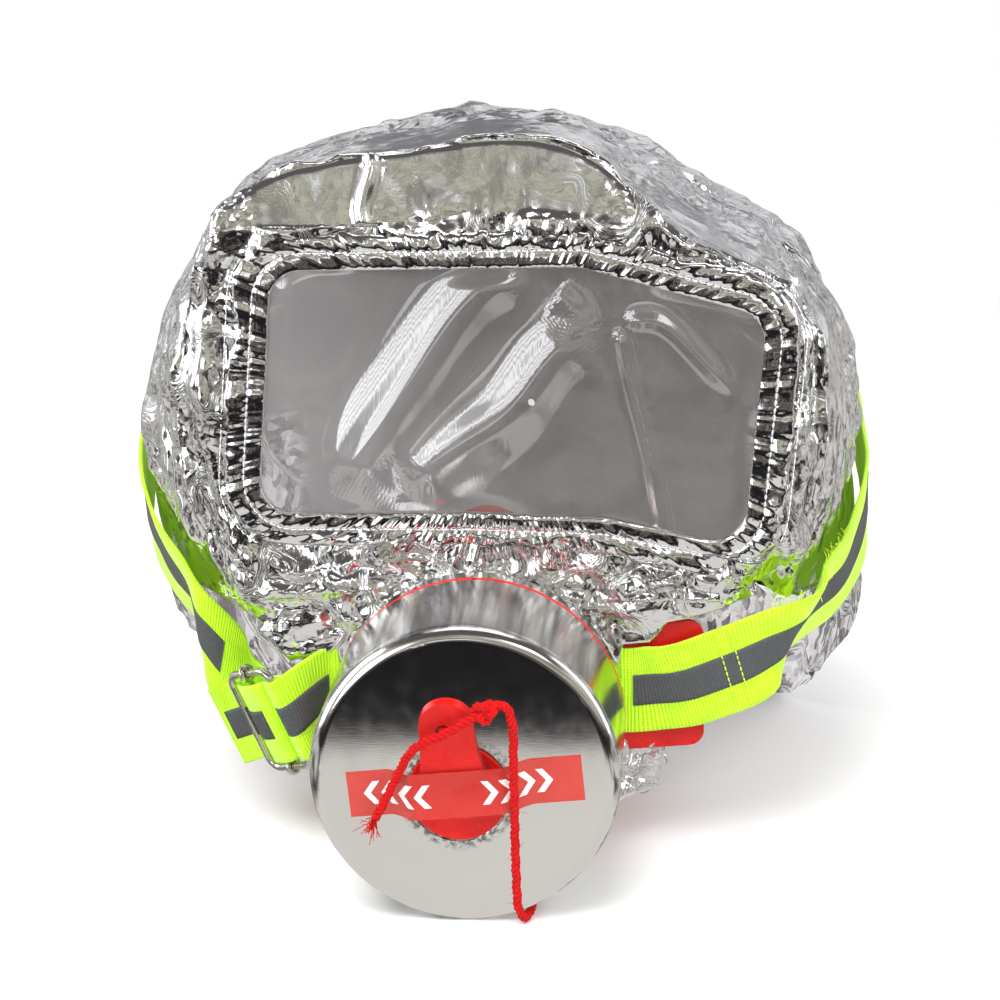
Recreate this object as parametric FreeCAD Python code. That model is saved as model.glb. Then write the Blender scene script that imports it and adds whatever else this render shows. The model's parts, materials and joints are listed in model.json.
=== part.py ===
"""Escape smoke hood standing on a table: a drawn-steel filter canister lying on its side, a red oronasal half
mask behind it, a metallised-foil hood with a clear visor round the head space, and a high-visibility strap.

Frame, in millimetres: +Z up, +X to the right of someone facing the canister, -Y out of the canister's inlet.
The origin is the middle of the neck opening, in the plane the hood stands on."""

import FreeCAD, Part
import math
import os

V = FreeCAD.Vector

# ---------------------------------------------------------------- driving dimensions
CAN_R = 55.0            # canister radius
CAN_WALL = 0.8
CAN_FRONT = -150.0      # plane of the canister's front face
CAN_SEAM = -93.0        # where the front shell ends and the seam ring starts
CAN_REAR = -80.0        # plane of the canister's rear face
SEAM_RING = 2.6         # visible width of the seam ring
AXIS_Z = CAN_R          # the canister lies on the table
RIM_R = 5.0             # pressed corner of the two shells
BED_R = 54.0            # radius of everything packed inside the canister

INLET = V(-2.0, 0.0, 49.5)      # inlet centre, a little below the canister's own centre
INLET_R = 15.0
RECESS_R = 18.5
RECESS_DEPTH = 2.0

NECK_R = 21.0           # outlet neck, outside
NECK_BORE = 19.0
NECK_END = -62.0

FOIL = 1.5              # thickness that stands for the foil, its backing and the air between them
GAP = 0.1               # running clearance between parts that touch

# Middles (x, z) of the clear window's round corners. Its right-hand end droops, as the foil stands.
WINDOW_CORNERS = [(-61.5, 209.9), (38, 210.4), (93.3, 195), (87.5, 133.2), (50, 141.5), (0, 143.5),
                  (-67.5, 143.5)]
WINDOW_CORNER_R = 12.0
BINDING = 13.0          # width of the binding round the window
FILM = 0.5

STRAP_W, STRAP_T = 33.0, 1.4
REFLECT_W, REFLECT_T = 12.0, 0.3
STRAP_GAP = 2.6         # how far the strap stands off the foil
CORD_R = 1.6
ELASTIC_W, ELASTIC_T = 5.0, 2.0

# ---------------------------------------------------------------- hood shape
# Outlines of the hood across Y as (x, z), sixteen points each, counter-clockwise from the bottom.
# The right-hand shoulder is lower than the crown, which peaks right of centre as the foil stands.
FRONT_OUTLINE = [(0, -16), (38, -16), (64, 10), (94, 74), (118, 110), (128, 168), (122, 207), (82, 230),
                 (42, 262), (-28, 264), (-89, 245), (-107, 205), (-105, 135), (-84, 84), (-62, 10), (-38, -16)]
MIDDLE_OUTLINE = [(0, -20), (60, -20), (116, 5), (145, 70), (145, 116), (141, 170), (122, 214), (82, 241),
                  (34, 268), (-30, 264), (-86, 246), (-118, 212), (-137, 155), (-131, 84), (-100, 5),
                  (-60, -20)]
BACK_OUTLINE = [(0, -12), (60, -12), (116, 2), (140, 60), (138, 115), (126, 165), (104, 205), (66, 230),
                (24, 242), (-28, 240), (-74, 226), (-106, 192), (-122, 145), (-116, 80), (-90, 5), (-50, -12)]
BACK_CENTRE = (8.0, 125.0)
FRONT_Y = -78.0
# Each station: its Y, and how much of the front, middle and back outline it takes.
# The rest shrinks to BACK_CENTRE.
HOOD_STATIONS = [
    (FRONT_Y, 1.00, 0.00, 0.00),
    (-52.0, 0.50, 0.50, 0.00),
    (-18.0, 0.10, 0.90, 0.00),
    (15.0, 0.00, 1.00, 0.00),
    (55.0, 0.00, 0.62, 0.38),
    (88.0, 0.00, 0.00, 1.00),
    (105.0, 0.00, 0.00, 0.94),
    (117.0, 0.00, 0.00, 0.80),
    (125.0, 0.00, 0.00, 0.58),
]
SIDE_SEAM_LEFT, SIDE_SEAM_RIGHT = -98.0, 112.0
CROWN_Z = 155.0         # lowest point of the crown panel
FRONT_SEAM_Y = -70.0
REAR_SEAM_Y = 62.0
HEM_H = 10.0
# Side view (y, z) of the arch that lifts the hem clear of the strap on both sides.
ARCH = [(-66.0, 25.0), (-66.0, 95.0), (-50.0, 94.0), (-25.0, 84.0), (5.0, 62.0), (40.0, 34.0), (72.0, 12.0),
        (98.0, 0.0)]
SLIT_X = 46.0           # the strap and the mask's lugs leave the foil through a slit from here outwards
SLIT_LOW, SLIT_HIGH = 25.0, 98.0


def export(name, shape):
    """Writes one sub-part, and stops if it isn't a set of closed valid solids."""
    solids = shape.Solids
    if not solids or not all(s.isValid() and s.isClosed() for s in solids):
        raise RuntimeError(f"{name}: not a closed valid solid")
    Part.makeCompound(solids).exportStep(f"parts/{name}.step")


def disc(y0, y1, radius, x=0.0, z=AXIS_Z):
    """Cylinder along +Y from y0 to y1."""
    return Part.makeCylinder(radius, y1 - y0, V(x, y0, z), V(0, 1, 0))


def tube(y0, y1, outer, inner, x=0.0, z=AXIS_Z):
    return disc(y0, y1, outer, x, z).cut(disc(y0 - 1, y1 + 1, inner, x, z))


def box(x0, x1, y0, y1, z0, z1):
    return Part.makeBox(x1 - x0, y1 - y0, z1 - z0, V(x0, y0, z0))


def round_edges(shape, radius, chosen):
    """Fillets the edges whose middle point satisfies chosen."""
    edges = [e for e in shape.Edges if chosen(e.CenterOfMass)]
    return shape.makeFillet(radius, edges)


def closed_spline(points):
    curve = Part.BSplineCurve()
    curve.interpolate(points, PeriodicFlag=True)
    return Part.Wire([curve.toShape()])


def open_spline(points):
    curve = Part.BSplineCurve()
    curve.interpolate(points)
    return Part.Wire([curve.toShape()])


def rod(points, radius):
    """Round cord along a smooth path."""
    path = open_spline(points)
    tangent = path.Edges[0].tangentAt(path.Edges[0].FirstParameter)
    start = Part.Wire([Part.makeCircle(radius, points[0], tangent)])
    shell = Part.BRepOffsetAPI.MakePipeShell(path)
    shell.add(start)
    shell.setTransitionMode(1)
    shell.build()
    shell.makeSolid()
    return shell.shape()


# ---------------------------------------------------------------- canister
def canister_front_shell():
    outer = disc(CAN_FRONT, CAN_SEAM, CAN_R)
    outer = round_edges(outer, RIM_R, lambda c: abs(c.y - CAN_FRONT) < 0.1)
    inner = disc(CAN_FRONT + CAN_WALL, CAN_SEAM + 1, CAN_R - CAN_WALL)
    inner = round_edges(inner, RIM_R - CAN_WALL, lambda c: abs(c.y - CAN_FRONT - CAN_WALL) < 0.1)
    seat = disc(CAN_FRONT + CAN_WALL, CAN_FRONT + RECESS_DEPTH + CAN_WALL, RECESS_R + CAN_WALL,
                INLET.x, INLET.z)
    recess = disc(CAN_FRONT - 1, CAN_FRONT + RECESS_DEPTH, RECESS_R, INLET.x, INLET.z)
    inlet = disc(CAN_FRONT - 1, CAN_FRONT + 10, INLET_R, INLET.x, INLET.z)
    return outer.cut(inner).fuse(seat).cut(recess).cut(inlet).removeSplitter()


def canister_rear_shell():
    start = CAN_SEAM + SEAM_RING
    outer = disc(start, CAN_REAR, CAN_R)
    outer = round_edges(outer, RIM_R - 1, lambda c: abs(c.y - CAN_REAR) < 0.1)
    inner = disc(start - 1, CAN_REAR - CAN_WALL, CAN_R - CAN_WALL)
    inner = round_edges(inner, RIM_R - 1 - CAN_WALL, lambda c: abs(c.y - CAN_REAR + CAN_WALL) < 0.1)
    neck = disc(CAN_REAR - CAN_WALL, NECK_END, NECK_R)
    return outer.cut(inner).fuse(neck).cut(disc(CAN_REAR - 5, NECK_END + 1, NECK_BORE)).removeSplitter()


def seam_ring():
    """Red sealing band in the joint, its two ends meeting at the top."""
    ring = tube(CAN_SEAM, CAN_SEAM + SEAM_RING, CAN_R, BED_R + GAP)
    return ring.cut(box(-0.8, 0.8, CAN_SEAM - 1, CAN_SEAM + 2, AXIS_Z + CAN_R - 2, AXIS_Z + CAN_R + 2))


def perforated_disc(y0, thickness, hole_r=3.0, pitch=11.0):
    plate = disc(y0, y0 + thickness, BED_R)
    holes = []
    rows = int(BED_R / (pitch * 0.866)) + 1
    for row in range(-rows, rows + 1):
        z = row * pitch * math.sin(math.radians(60))
        shift = pitch / 2 if row % 2 else 0.0
        for column in range(-rows, rows + 1):
            x = column * pitch + shift
            if math.hypot(x, z) < BED_R - hole_r - 3:
                holes.append(disc(y0 - 1, y0 + thickness + 1, hole_r, x, AXIS_Z + z))
    return plate.cut(Part.makeCompound(holes))


def pleated_filter(y0, y1, pitch=9.0, paper=0.8):
    """Filter paper folded to and fro between y0 and y1, trimmed to the canister."""
    count = int(2 * BED_R / pitch) + 2
    left = -count * pitch / 2
    near, far = [], []
    for i in range(2 * count + 1):
        x = left + i * pitch / 2
        y = y0 if i % 2 == 0 else y1 - 2 * paper
        near.append(V(x, y, AXIS_Z - BED_R - 1))
        far.append(V(x, y + 2 * paper, AXIS_Z - BED_R - 1))
    outline = Part.makePolygon(near + far[::-1] + [near[0]])
    return Part.Face(outline).extrude(V(0, 0, 2 * BED_R + 2)).common(disc(y0 - 1, y1 + 1, BED_R))


def bed_spring(y0, y1):
    """Wavy washer of four bent leaves between the retainer and the rear face, which keeps the beds tight."""
    thickness = 0.8
    ring_r, half_width, waves = 40.0, 4.0, 4
    middle, height = (y0 + y1) / 2, (y1 - y0 - thickness) / 2 - GAP
    sections = []
    steps = 48
    open_steps = 2
    for i in range(steps - open_steps + 1):
        turn = 2 * math.pi * i / steps
        y = middle + height * math.cos(waves * turn)
        corners = []
        for r, dy in ((ring_r - half_width, -0.5), (ring_r + half_width, -0.5), (ring_r + half_width, 0.5),
                      (ring_r - half_width, 0.5)):
            corners.append(V(r * math.cos(turn), y + dy * thickness, AXIS_Z + r * math.sin(turn)))
        sections.append(Part.makePolygon(corners + [corners[0]]))
    return Part.makeLoft(sections, True, True)


# ---------------------------------------------------------------- plugs, cord and seal label
PLUG_TILT = 15.0            # the tab leans out from the face
TAB_ROOT = V(INLET.x, CAN_FRONT + 1.0, 45.0)
TAB_T = 4.0
TAB_LEN = 45.0
TAB_TIP_X = -4.5
TAB_HOLE = V(-5.7, 0, 33.5)     # from the root, along the tab


def front_plug():
    body = disc(CAN_FRONT + RECESS_DEPTH, CAN_FRONT + 7.0, INLET_R - GAP, INLET.x, INLET.z)
    flange = disc(CAN_FRONT - 0.5, CAN_FRONT + RECESS_DEPTH, RECESS_R - 0.7, INLET.x, INLET.z)
    flange = round_edges(flange, 0.8, lambda c: abs(c.y - CAN_FRONT + 0.5) < 0.05)
    tip_r = 9.5
    base = 13.0
    tip = TAB_LEN - tip_r
    x0 = TAB_ROOT.x
    outline = Part.Wire([
        Part.makeLine(V(x0 - base, 0, 0), V(x0 + base, 0, 0)),
        Part.BSplineCurve([V(x0 + base, 0, 0), V(x0 + base, 0, 14), V(TAB_TIP_X + tip_r, 0, 18),
                           V(TAB_TIP_X + tip_r, 0, tip)]).toShape(),
        Part.Arc(V(TAB_TIP_X + tip_r, 0, tip), V(TAB_TIP_X, 0, TAB_LEN),
                 V(TAB_TIP_X - tip_r, 0, tip)).toShape(),
        Part.BSplineCurve([V(TAB_TIP_X - tip_r, 0, tip), V(TAB_TIP_X - tip_r, 0, 18), V(x0 - base, 0, 14),
                           V(x0 - base, 0, 0)]).toShape(),
    ])
    tab = Part.Face(outline).extrude(V(0, -TAB_T, 0))
    hole = Part.makeCylinder(2.6, TAB_T + 4, V(TAB_HOLE.x, 2, TAB_HOLE.z), V(0, -1, 0))
    tab = tab.cut(hole)
    tab.rotate(V(0, 0, 0), V(1, 0, 0), PLUG_TILT)
    tab.translate(V(0, TAB_ROOT.y, TAB_ROOT.z))
    return body.fuse(flange).fuse(tab).removeSplitter()


def rear_plug():
    body = disc(-70.0, NECK_END, NECK_BORE - GAP)
    flange = disc(NECK_END, NECK_END + 2.5, NECK_R + 1.0)
    tab = box(-9, 9, NECK_END + 2, NECK_END + 28, AXIS_Z - 1.75, AXIS_Z + 1.75)
    tab = round_edges(tab, 8.0, lambda c: abs(c.y - NECK_END - 28) < 0.1 and abs(abs(c.x) - 9) < 0.1)
    hole = Part.makeCylinder(2.6, 10, V(0, NECK_END + 20, AXIS_Z - 5), V(0, 0, 1))
    return body.fuse(flange).fuse(tab).cut(hole).removeSplitter()


KNOT = V(9.6, -166.5, 85.5)
KNOT_R = 4.0


def from_knot(direction, *lengths):
    """First points of a cord that leaves the knot in a straight line."""
    return [KNOT + V(*direction).normalize() * length for length in lengths]


def pull_cord():
    """Cord through the tab's hole, knotted beside it, with a short tail and a long one under the canister."""
    table_z = CORD_R + GAP
    long_tail = from_knot((0.85, 0.1, 0.35), 2.4, 6.0) + [
        V(18.2, -164.6, 82), V(18.4, -161.5, 68), V(18.2, -159, 52), V(18.0, -156, 34), V(18.2, -153.8, 12),
        V(18.8, -152.6, 6), V(20.5, -149.5, 2.2), V(22, -143, table_z), V(22.5, -130, table_z),
        V(22.5, -112, table_z)]
    short_tail = from_knot((-0.88, 0, -0.47), 2.4, 6.0) + [
        V(-0.5, -166.3, 79.6), V(-5.7, -165.8, 76.6), V(-11, -165, 74), V(-16.5, -162.5, 69.5),
        V(-21, -158.6, 61.5), V(-25.5, -155.6, 52), V(-31, -153.6, 41)]
    through_hole = from_knot((0.1, 0.9, -0.4), 2.4, 5.2) + [
        V(6.5, -156.9, 82.2), V(0.5, -154.9, 80), V(-4.4, -155.2, 78.3), V(-5.7, -158.2, 77.2),
        V(-5.7, -161.5, 76.3), V(-5.7, -165, 75.6)]
    cord = Part.makeSphere(KNOT_R, KNOT)
    for path in (long_tail, short_tail, through_hole):
        cord = cord.fuse(rod(path, CORD_R))
    return cord


LABEL_TILT = -5.0
LABEL_X0, LABEL_X1 = -41.0, 42.0
LABEL_Z0, LABEL_Z1 = 43.5, 60.5


def seal_label():
    """Film stuck to the face, bridging the plug and the root of its tab."""
    film = 0.3
    lift = CAN_FRONT - 8.2
    flat = CAN_FRONT - film - 0.05
    front = [V(LABEL_X0, flat, 0), V(-26, flat, 0), V(-17, lift, 0), V(13.5, lift, 0), V(24, flat, 0),
             V(LABEL_X1, flat, 0)]
    back = [p + V(0, film, 0) for p in front]
    outline = Part.makePolygon(front + back[::-1] + [front[0]])
    strip = Part.Face(outline).extrude(V(0, 0, LABEL_Z1 - LABEL_Z0))
    strip.translate(V(0, 0, LABEL_Z0))
    strip.rotate(V(0, 0, (LABEL_Z0 + LABEL_Z1) / 2), V(0, 1, 0), LABEL_TILT)
    return strip


# ---------------------------------------------------------------- valves
STEM_R, STEM_BORE = 1.45, 1.53      # the valve flaps' stems run in their seats' hubs


def inhale_valve_seat():
    seat = tube(-78.5, -75.5, NECK_BORE - 0.05, 16.0)
    hub = disc(-78.5, -75.5, 3.5)
    for angle in range(0, 180, 60):
        spoke = box(-1.2, 1.2, -78.5, -75.5, AXIS_Z - 16.5, AXIS_Z + 16.5)
        spoke.rotate(V(0, 0, AXIS_Z), V(0, 1, 0), angle)
        hub = hub.fuse(spoke)
    return seat.fuse(hub).cut(disc(-80, -74, STEM_BORE)).removeSplitter()


def inhale_valve_disc():
    return disc(-75.4, -74.6, 17.6).fuse(disc(-80.0, -75.4, STEM_R)).removeSplitter()


EXHALE = V(0.0, -46.0, 0.0)     # the exhale valve's axis is vertical, under the chin
EXHALE_Z = 9.5                  # seat plane


def upright(z0, z1, radius):
    return Part.makeCylinder(radius, z1 - z0, V(EXHALE.x, EXHALE.y, z0), V(0, 0, 1))


def exhale_valve_seat():
    seat = upright(EXHALE_Z, EXHALE_Z + 4.0, 12.95).cut(upright(EXHALE_Z - 1, EXHALE_Z + 6, 9.5))
    hub = upright(EXHALE_Z, EXHALE_Z + 4.0, 2.8)
    for angle in (0, 60, 120):
        bar = box(-10, 10, -0.9, 0.9, EXHALE_Z, EXHALE_Z + 4.0)
        bar.rotate(V(0, 0, 0), V(0, 0, 1), angle)
        bar.translate(V(EXHALE.x, EXHALE.y, 0))
        hub = hub.fuse(bar)
    return seat.fuse(hub).cut(upright(0, 20, STEM_BORE)).removeSplitter()


def exhale_valve_disc():
    return upright(EXHALE_Z - 0.9, EXHALE_Z - 0.1, 11.0).fuse(upright(EXHALE_Z - 0.1, EXHALE_Z + 5.5, STEM_R))


def exhale_valve_cage():
    """Snap-on cover with side vents, under the disc."""
    low, high = 2.2, EXHALE_Z + 2.0
    cup = upright(low, high, 16.6).cut(upright(low + 1.4, high + 1, 15.2))
    for angle in range(0, 180, 45):
        vent = box(-20, 20, -2.2, 2.2, low + 2.0, low + 5.0)
        vent.rotate(V(0, 0, 0), V(0, 0, 1), angle)
        vent.translate(V(EXHALE.x, EXHALE.y, 0))
        cup = cup.cut(vent)
    return cup.cut(upright(0, 4, 4.0))


# ---------------------------------------------------------------- half mask
MASK_FLANGE_Y0, MASK_FLANGE_Y1 = FRONT_Y + FOIL + GAP, FRONT_Y + FOIL + GAP + 3.0
LUG_RIGHT, LUG_LEFT = 84.0, -67.0
SLOT_X, SLOT_Z = 51.5, 62.0      # middle of the slot in each lug
# Half outline of the face rim, (x, z) from the chin to the nose.
RIM_HALF = [(0, 14), (26, 17), (44, 32), (50, 56), (42, 79), (24, 97), (11, 110), (0, 114)]
RIM_CENTRE_Z = 60.0


def rim_wire(y, scale, inset=0.0):
    right = []
    for x, z in RIM_HALF:
        dx, dz = x * scale, (z - RIM_CENTRE_Z) * scale
        length = math.hypot(dx, dz) or 1.0
        keep = (length - inset) / length
        right.append((dx * keep, RIM_CENTRE_Z + dz * keep))
    left = [(-x, z) for x, z in right[1:-1]][::-1]
    return closed_spline([V(x, y, z) for x, z in right + left])


def cup_sections(inset):
    """Circle at the neck swelling to the face rim. Sixteen-point splines keep the loft untwisted."""
    sections = []
    for y, share in ((-64.0 + inset, 0.0), (-58.0, 0.2), (-50.0, 0.62), (-38.0, 0.90), (-26.0, 1.0)):
        points = []
        count = 16
        for i in range(count):
            turn = -math.pi / 2 + 2 * math.pi * i / count
            rim = rim_radius(turn)
            radius = (1 - share) * 27.5 + share * rim - inset
            centre_z = (1 - share) * AXIS_Z + share * RIM_CENTRE_Z
            points.append(V(radius * math.cos(turn), y, centre_z + radius * math.sin(turn)))
        sections.append(closed_spline(points))
    return sections


def rim_radius(turn):
    """Distance from the rim's centre to its outline, taken as straight between its points, in a direction."""
    c, s = abs(math.cos(turn)), math.sin(turn)
    for (x0, z0), (x1, z1) in zip(RIM_HALF, RIM_HALF[1:]):
        z0, z1 = z0 - RIM_CENTRE_Z, z1 - RIM_CENTRE_Z
        before, after = x0 * s - z0 * c, x1 * s - z1 * c
        if before >= -1e-9 >= after or before >= 1e-9 >= after:
            t = before / (before - after) if before != after else 0.0
            return math.hypot(x0 + (x1 - x0) * t, z0 + (z1 - z0) * t)
    return abs(RIM_HALF[0][1] - RIM_CENTRE_Z) if s < 0 else RIM_HALF[-1][1] - RIM_CENTRE_Z


def lug(sign, reach):
    """Strap lug that leaves the neck flange sideways, with round outer corners and a slot for the webbing."""
    low0, high0, low1, high1 = 36.0, 76.0, 40.5, 89.5
    x1 = abs(reach)
    points = [(26, low0), (x1, low1), (x1, high1), (44, 86), (26, high0)]
    plate = Part.Face(Part.makePolygon([V(sign * x, MASK_FLANGE_Y0, z) for x, z in points + points[:1]]))
    plate = plate.extrude(V(0, MASK_FLANGE_Y1 - MASK_FLANGE_Y0, 0))
    middle_y = (MASK_FLANGE_Y0 + MASK_FLANGE_Y1) / 2
    plate = round_edges(plate, 6.0, lambda c: abs(abs(c.x) - x1) < 0.1 and abs(c.y - middle_y) < 0.1)
    half = STRAP_W / 2 + 0.7
    slot = box(SLOT_X - 2.7, SLOT_X + 2.7, MASK_FLANGE_Y0 - 1, MASK_FLANGE_Y1 + 1,
               SLOT_Z - half, SLOT_Z + half)
    if sign < 0:
        slot = slot.mirror(V(0, 0, 0), V(1, 0, 0))
    return plate.cut(slot)


def half_mask():
    outer = Part.makeLoft(cup_sections(0.0), True, False)
    inner = Part.makeLoft(cup_sections(2.4), True, False)
    rim = Part.Face(rim_wire(-27.0, 1.10)).extrude(V(0, 3.0, 0))
    mouth = Part.Face(rim_wire(-31.0, 0.86)).extrude(V(0, 10.0, 0))
    flange = disc(MASK_FLANGE_Y0, MASK_FLANGE_Y1, 32.0)
    sleeve = disc(MASK_FLANGE_Y0, -62.0, 24.6)
    stub = upright(EXHALE_Z - 1.0, EXHALE_Z + 8.0, 15.0)
    boss = upright(EXHALE_Z - 1.0, 30.0, 15.0).common(outer.fuse(stub))
    mask = outer.fuse(rim).fuse(flange).fuse(sleeve).fuse(boss)
    mask = mask.cut(inner).cut(mouth)
    mask = mask.cut(disc(MASK_FLANGE_Y0 - 1, NECK_END - GAP, NECK_R + 0.05))
    mask = mask.cut(disc(NECK_END - GAP, -58, 23.8))
    mask = mask.cut(upright(EXHALE_Z - 2, 30.0, 13.0))
    return mask.fuse(lug(1, LUG_RIGHT)).fuse(lug(-1, LUG_LEFT))


def mask_clamp_band():
    band = tube(-72.0, -66.0, 25.9, 24.7)
    return band.fuse(box(-3, 3, -71.5, -66.5, AXIS_Z + 25.0, AXIS_Z + 29.0)).removeSplitter()


def hood_gasket():
    return tube(CAN_REAR + GAP, FRONT_Y - GAP, 32.0, NECK_R + 0.05)


# ---------------------------------------------------------------- hood
def hood_outline(front, middle, back):
    rest = 1.0 - front - middle - back
    return [
        (front * f[0] + middle * m[0] + back * b[0] + rest * BACK_CENTRE[0],
         front * f[1] + middle * m[1] + back * b[1] + rest * BACK_CENTRE[1])
        for f, m, b in zip(FRONT_OUTLINE, MIDDLE_OUTLINE, BACK_OUTLINE)
    ]


def inset(points, distance):
    """Moves each point of a closed outline inwards along its own normal."""
    moved = []
    for i, (x, z) in enumerate(points):
        before, after = points[i - 1], points[(i + 1) % len(points)]
        dx, dz = after[0] - before[0], after[1] - before[1]
        length = math.hypot(dx, dz)
        moved.append((x - dz / length * distance, z + dx / length * distance))
    return moved


def hood_volume(distance=0.0):
    """The solid inside the hood's outer skin, moved inwards by distance."""
    sections = []
    smallest = 1.0 - HOOD_STATIONS[-1][3]
    for y, front, middle, back in HOOD_STATIONS:
        if y == FRONT_Y:
            y += distance
        rounding = (1.0 - front - middle - back) / smallest
        y -= distance * rounding
        points = inset(hood_outline(front, middle, back), distance)
        sections.append(closed_spline([V(x, y, z) for x, z in points]))
    return Part.makeLoft(sections, True, False)


def arch_cut():
    """What is missing from the hood's sides: the arch over the strap, all below the table plane, the slits."""
    reach = 200
    side = [V(-reach, y, z) for y, z in ARCH]
    top = open_spline(side[1:])
    close = Part.makePolygon([side[-1], V(-reach, 98, -60), V(-reach, -66, -60), side[0], side[1]])
    arch = Part.Face(Part.Wire(top.Edges + close.Edges)).extrude(V(2 * reach, 0, 0))
    low = box(-reach, reach, -reach, reach, -60, 0)
    slit = box(SLIT_X, reach, -reach, ARCH[0][0] + 1, SLIT_LOW, SLIT_HIGH)
    return arch.fuse(low).fuse(slit).fuse(slit.mirror(V(0, 0, 0), V(1, 0, 0)))


def window(margin, y0, y1):
    """Plate the shape of the clear window, wider all round by margin."""
    corners = [V(x, y0, z) for x, z in WINDOW_CORNERS]
    core = Part.Face(Part.makePolygon(corners + corners[:1]))
    return core.makeOffset2D(WINDOW_CORNER_R + margin).extrude(V(0, y1 - y0, 0))


def hood_panels():
    """The hood's skin, split at its seams into the panels it is sewn from."""
    far = 300
    skin = hood_volume().cut(hood_volume(FOIL)).cut(arch_cut())
    skin = skin.cut(window(BINDING / 2, FRONT_Y - 5, FRONT_Y + 5))
    skin = skin.cut(disc(FRONT_Y - 5, FRONT_Y + 5, NECK_R + 0.5))
    front_side = box(-far, far, -far, FRONT_SEAM_Y, -1, far).fuse(box(-far, far, -far, 0, -1, SLIT_LOW))
    front = skin.common(front_side)
    rest = skin.cut(front_side)
    top = box(SIDE_SEAM_LEFT, SIDE_SEAM_RIGHT, -far, REAR_SEAM_Y, CROWN_Z, far)
    crown = rest.common(top)
    left = rest.common(box(-far, 0, -far, REAR_SEAM_Y, -1, far).cut(top))
    right = rest.common(box(0, far, -far, REAR_SEAM_Y, -1, far).cut(top))
    rear = rest.common(box(-far, far, REAR_SEAM_Y, far, HEM_H, far))
    hem = rest.common(box(-far, far, REAR_SEAM_Y, far, -1, HEM_H))
    return {"hood_front_panel": front, "hood_left_panel": left, "hood_right_panel": right,
            "hood_crown_panel": crown, "hood_rear_panel": rear, "neck_hem": hem}


def visor_binding():
    """Foil binding folded round the window's edge, in front of the panel and behind it."""
    outer, edge, slot = FRONT_Y - 0.8, FRONT_Y + FOIL + 0.8, BINDING / 2
    ring = window(BINDING, outer, edge).cut(window(0.0, outer - 1, edge + 1))
    panel_space = window(BINDING + 5, FRONT_Y - 0.02, FRONT_Y + FOIL + 0.02)
    panel_space = panel_space.cut(window(slot - 0.02, outer, edge))
    film_space = window(slot - 0.3, FRONT_Y + 0.45, FRONT_Y + 1.05)
    return ring.cut(panel_space).cut(film_space)


def visor():
    return window(BINDING / 2 - 0.5, FRONT_Y + 0.5, FRONT_Y + 0.5 + FILM)


def neck_elastic():
    """Flat elastic lying inside the rear hem."""
    near, far = FOIL + GAP, FOIL + GAP + ELASTIC_T
    tape = hood_volume(near).cut(hood_volume(far))
    return tape.common(box(-300, 300, REAR_SEAM_Y + 4, 300, 2.5, 2.5 + ELASTIC_W)).cut(arch_cut())


# ---------------------------------------------------------------- head strap and buckle
# Height of the strap's middle as it goes round the hood, by bearing in degrees about the head's axis.
HEAD_AXIS = (8.0, 30.0)
STRAP_HEIGHTS = [(-38, 92), (-32, 97), (-22, 110), (-10, 124), (6, 138), (30, 152), (60, 161), (90, 165),
                 (120, 165), (150, 160), (170, 149), (182, 138), (192, 125), (202, 110), (211, 98), (216, 92)]
BEARINGS = 44           # spaces between the strap's stations round the hood

BUCKLE = V(-80.0, -79.0, 50.0)      # middle of the buckle
BAR_DIR = V(0.40, 0.0, -0.9165)     # along its movable bar
SIDE_DIR = V(-0.7013, 0.6430, -0.3061).normalize()     # across it, away from the canister
FACE_DIR = V(-0.5893, -0.7652, -0.2572).normalize()    # out of its front
FRAME_S, FRAME_L = 12.5, 20.3       # half sizes of the frame's wire centreline
FRAME_CORNER = 5.0
FRAME_R, BAR_R = 1.5, 1.0
RING_R = FRAME_R + 0.08 + BAR_R     # the bar's curled ends run on the frame's short sides
# The strap's way through the buckle as (s, n): in behind, round the bar, out in front, under the frame's side.
WEAVE = [(8, -13), (2, -9), (-4, -5.2), (-7.2, -2.6), (-8, 0), (-7.2, 2.4), (-4, 3.6), (2, 3.4), (7, 1.2),
         (10.5, -2.0), (13, -3.2), (18, -2.4), (27, 1.6)]


def at_buckle(s, n, along=0.0):
    return BUCKLE + SIDE_DIR * s + FACE_DIR * n + BAR_DIR * along


def buckle_frame():
    """Rectangle of wire with round corners."""
    s, length, r = FRAME_S, FRAME_L, FRAME_CORNER
    edges = []
    for i in range(4):
        turn = math.pi / 2 * i
        half_a, half_b = (s, length) if i % 2 == 0 else (length, s)
        c, t = round(math.cos(turn)), round(math.sin(turn))

        def place(a, b):
            return at_buckle(a * c - b * t, 0.0, a * t + b * c)

        bend = r * (1 - math.sqrt(0.5))
        edges.append(Part.makeLine(place(half_a, r - half_b), place(half_a, half_b - r)))
        edges.append(Part.Arc(place(half_a, half_b - r), place(half_a - bend, half_b - bend),
                              place(half_a - r, half_b)).toShape())
    path = Part.Wire(edges)
    start = Part.Wire([Part.makeCircle(FRAME_R, at_buckle(s, 0.0, r - length), BAR_DIR)])
    return path.makePipeShell([start], True, False)


def buckle_bar():
    reach = FRAME_L - RING_R
    bar = Part.makeCylinder(BAR_R, 2 * reach, at_buckle(0, 0, -reach), BAR_DIR)
    for end in (-FRAME_L, FRAME_L):
        bar = bar.fuse(Part.makeTorus(RING_R, BAR_R, at_buckle(0, 0, end), SIDE_DIR))
    return bar


def strap_height(bearing):
    for (b0, z0), (b1, z1) in zip(STRAP_HEIGHTS, STRAP_HEIGHTS[1:]):
        if bearing <= b1:
            return z0 + (z1 - z0) * (bearing - b0) / (b1 - b0)
    return STRAP_HEIGHTS[-1][1]


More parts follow.
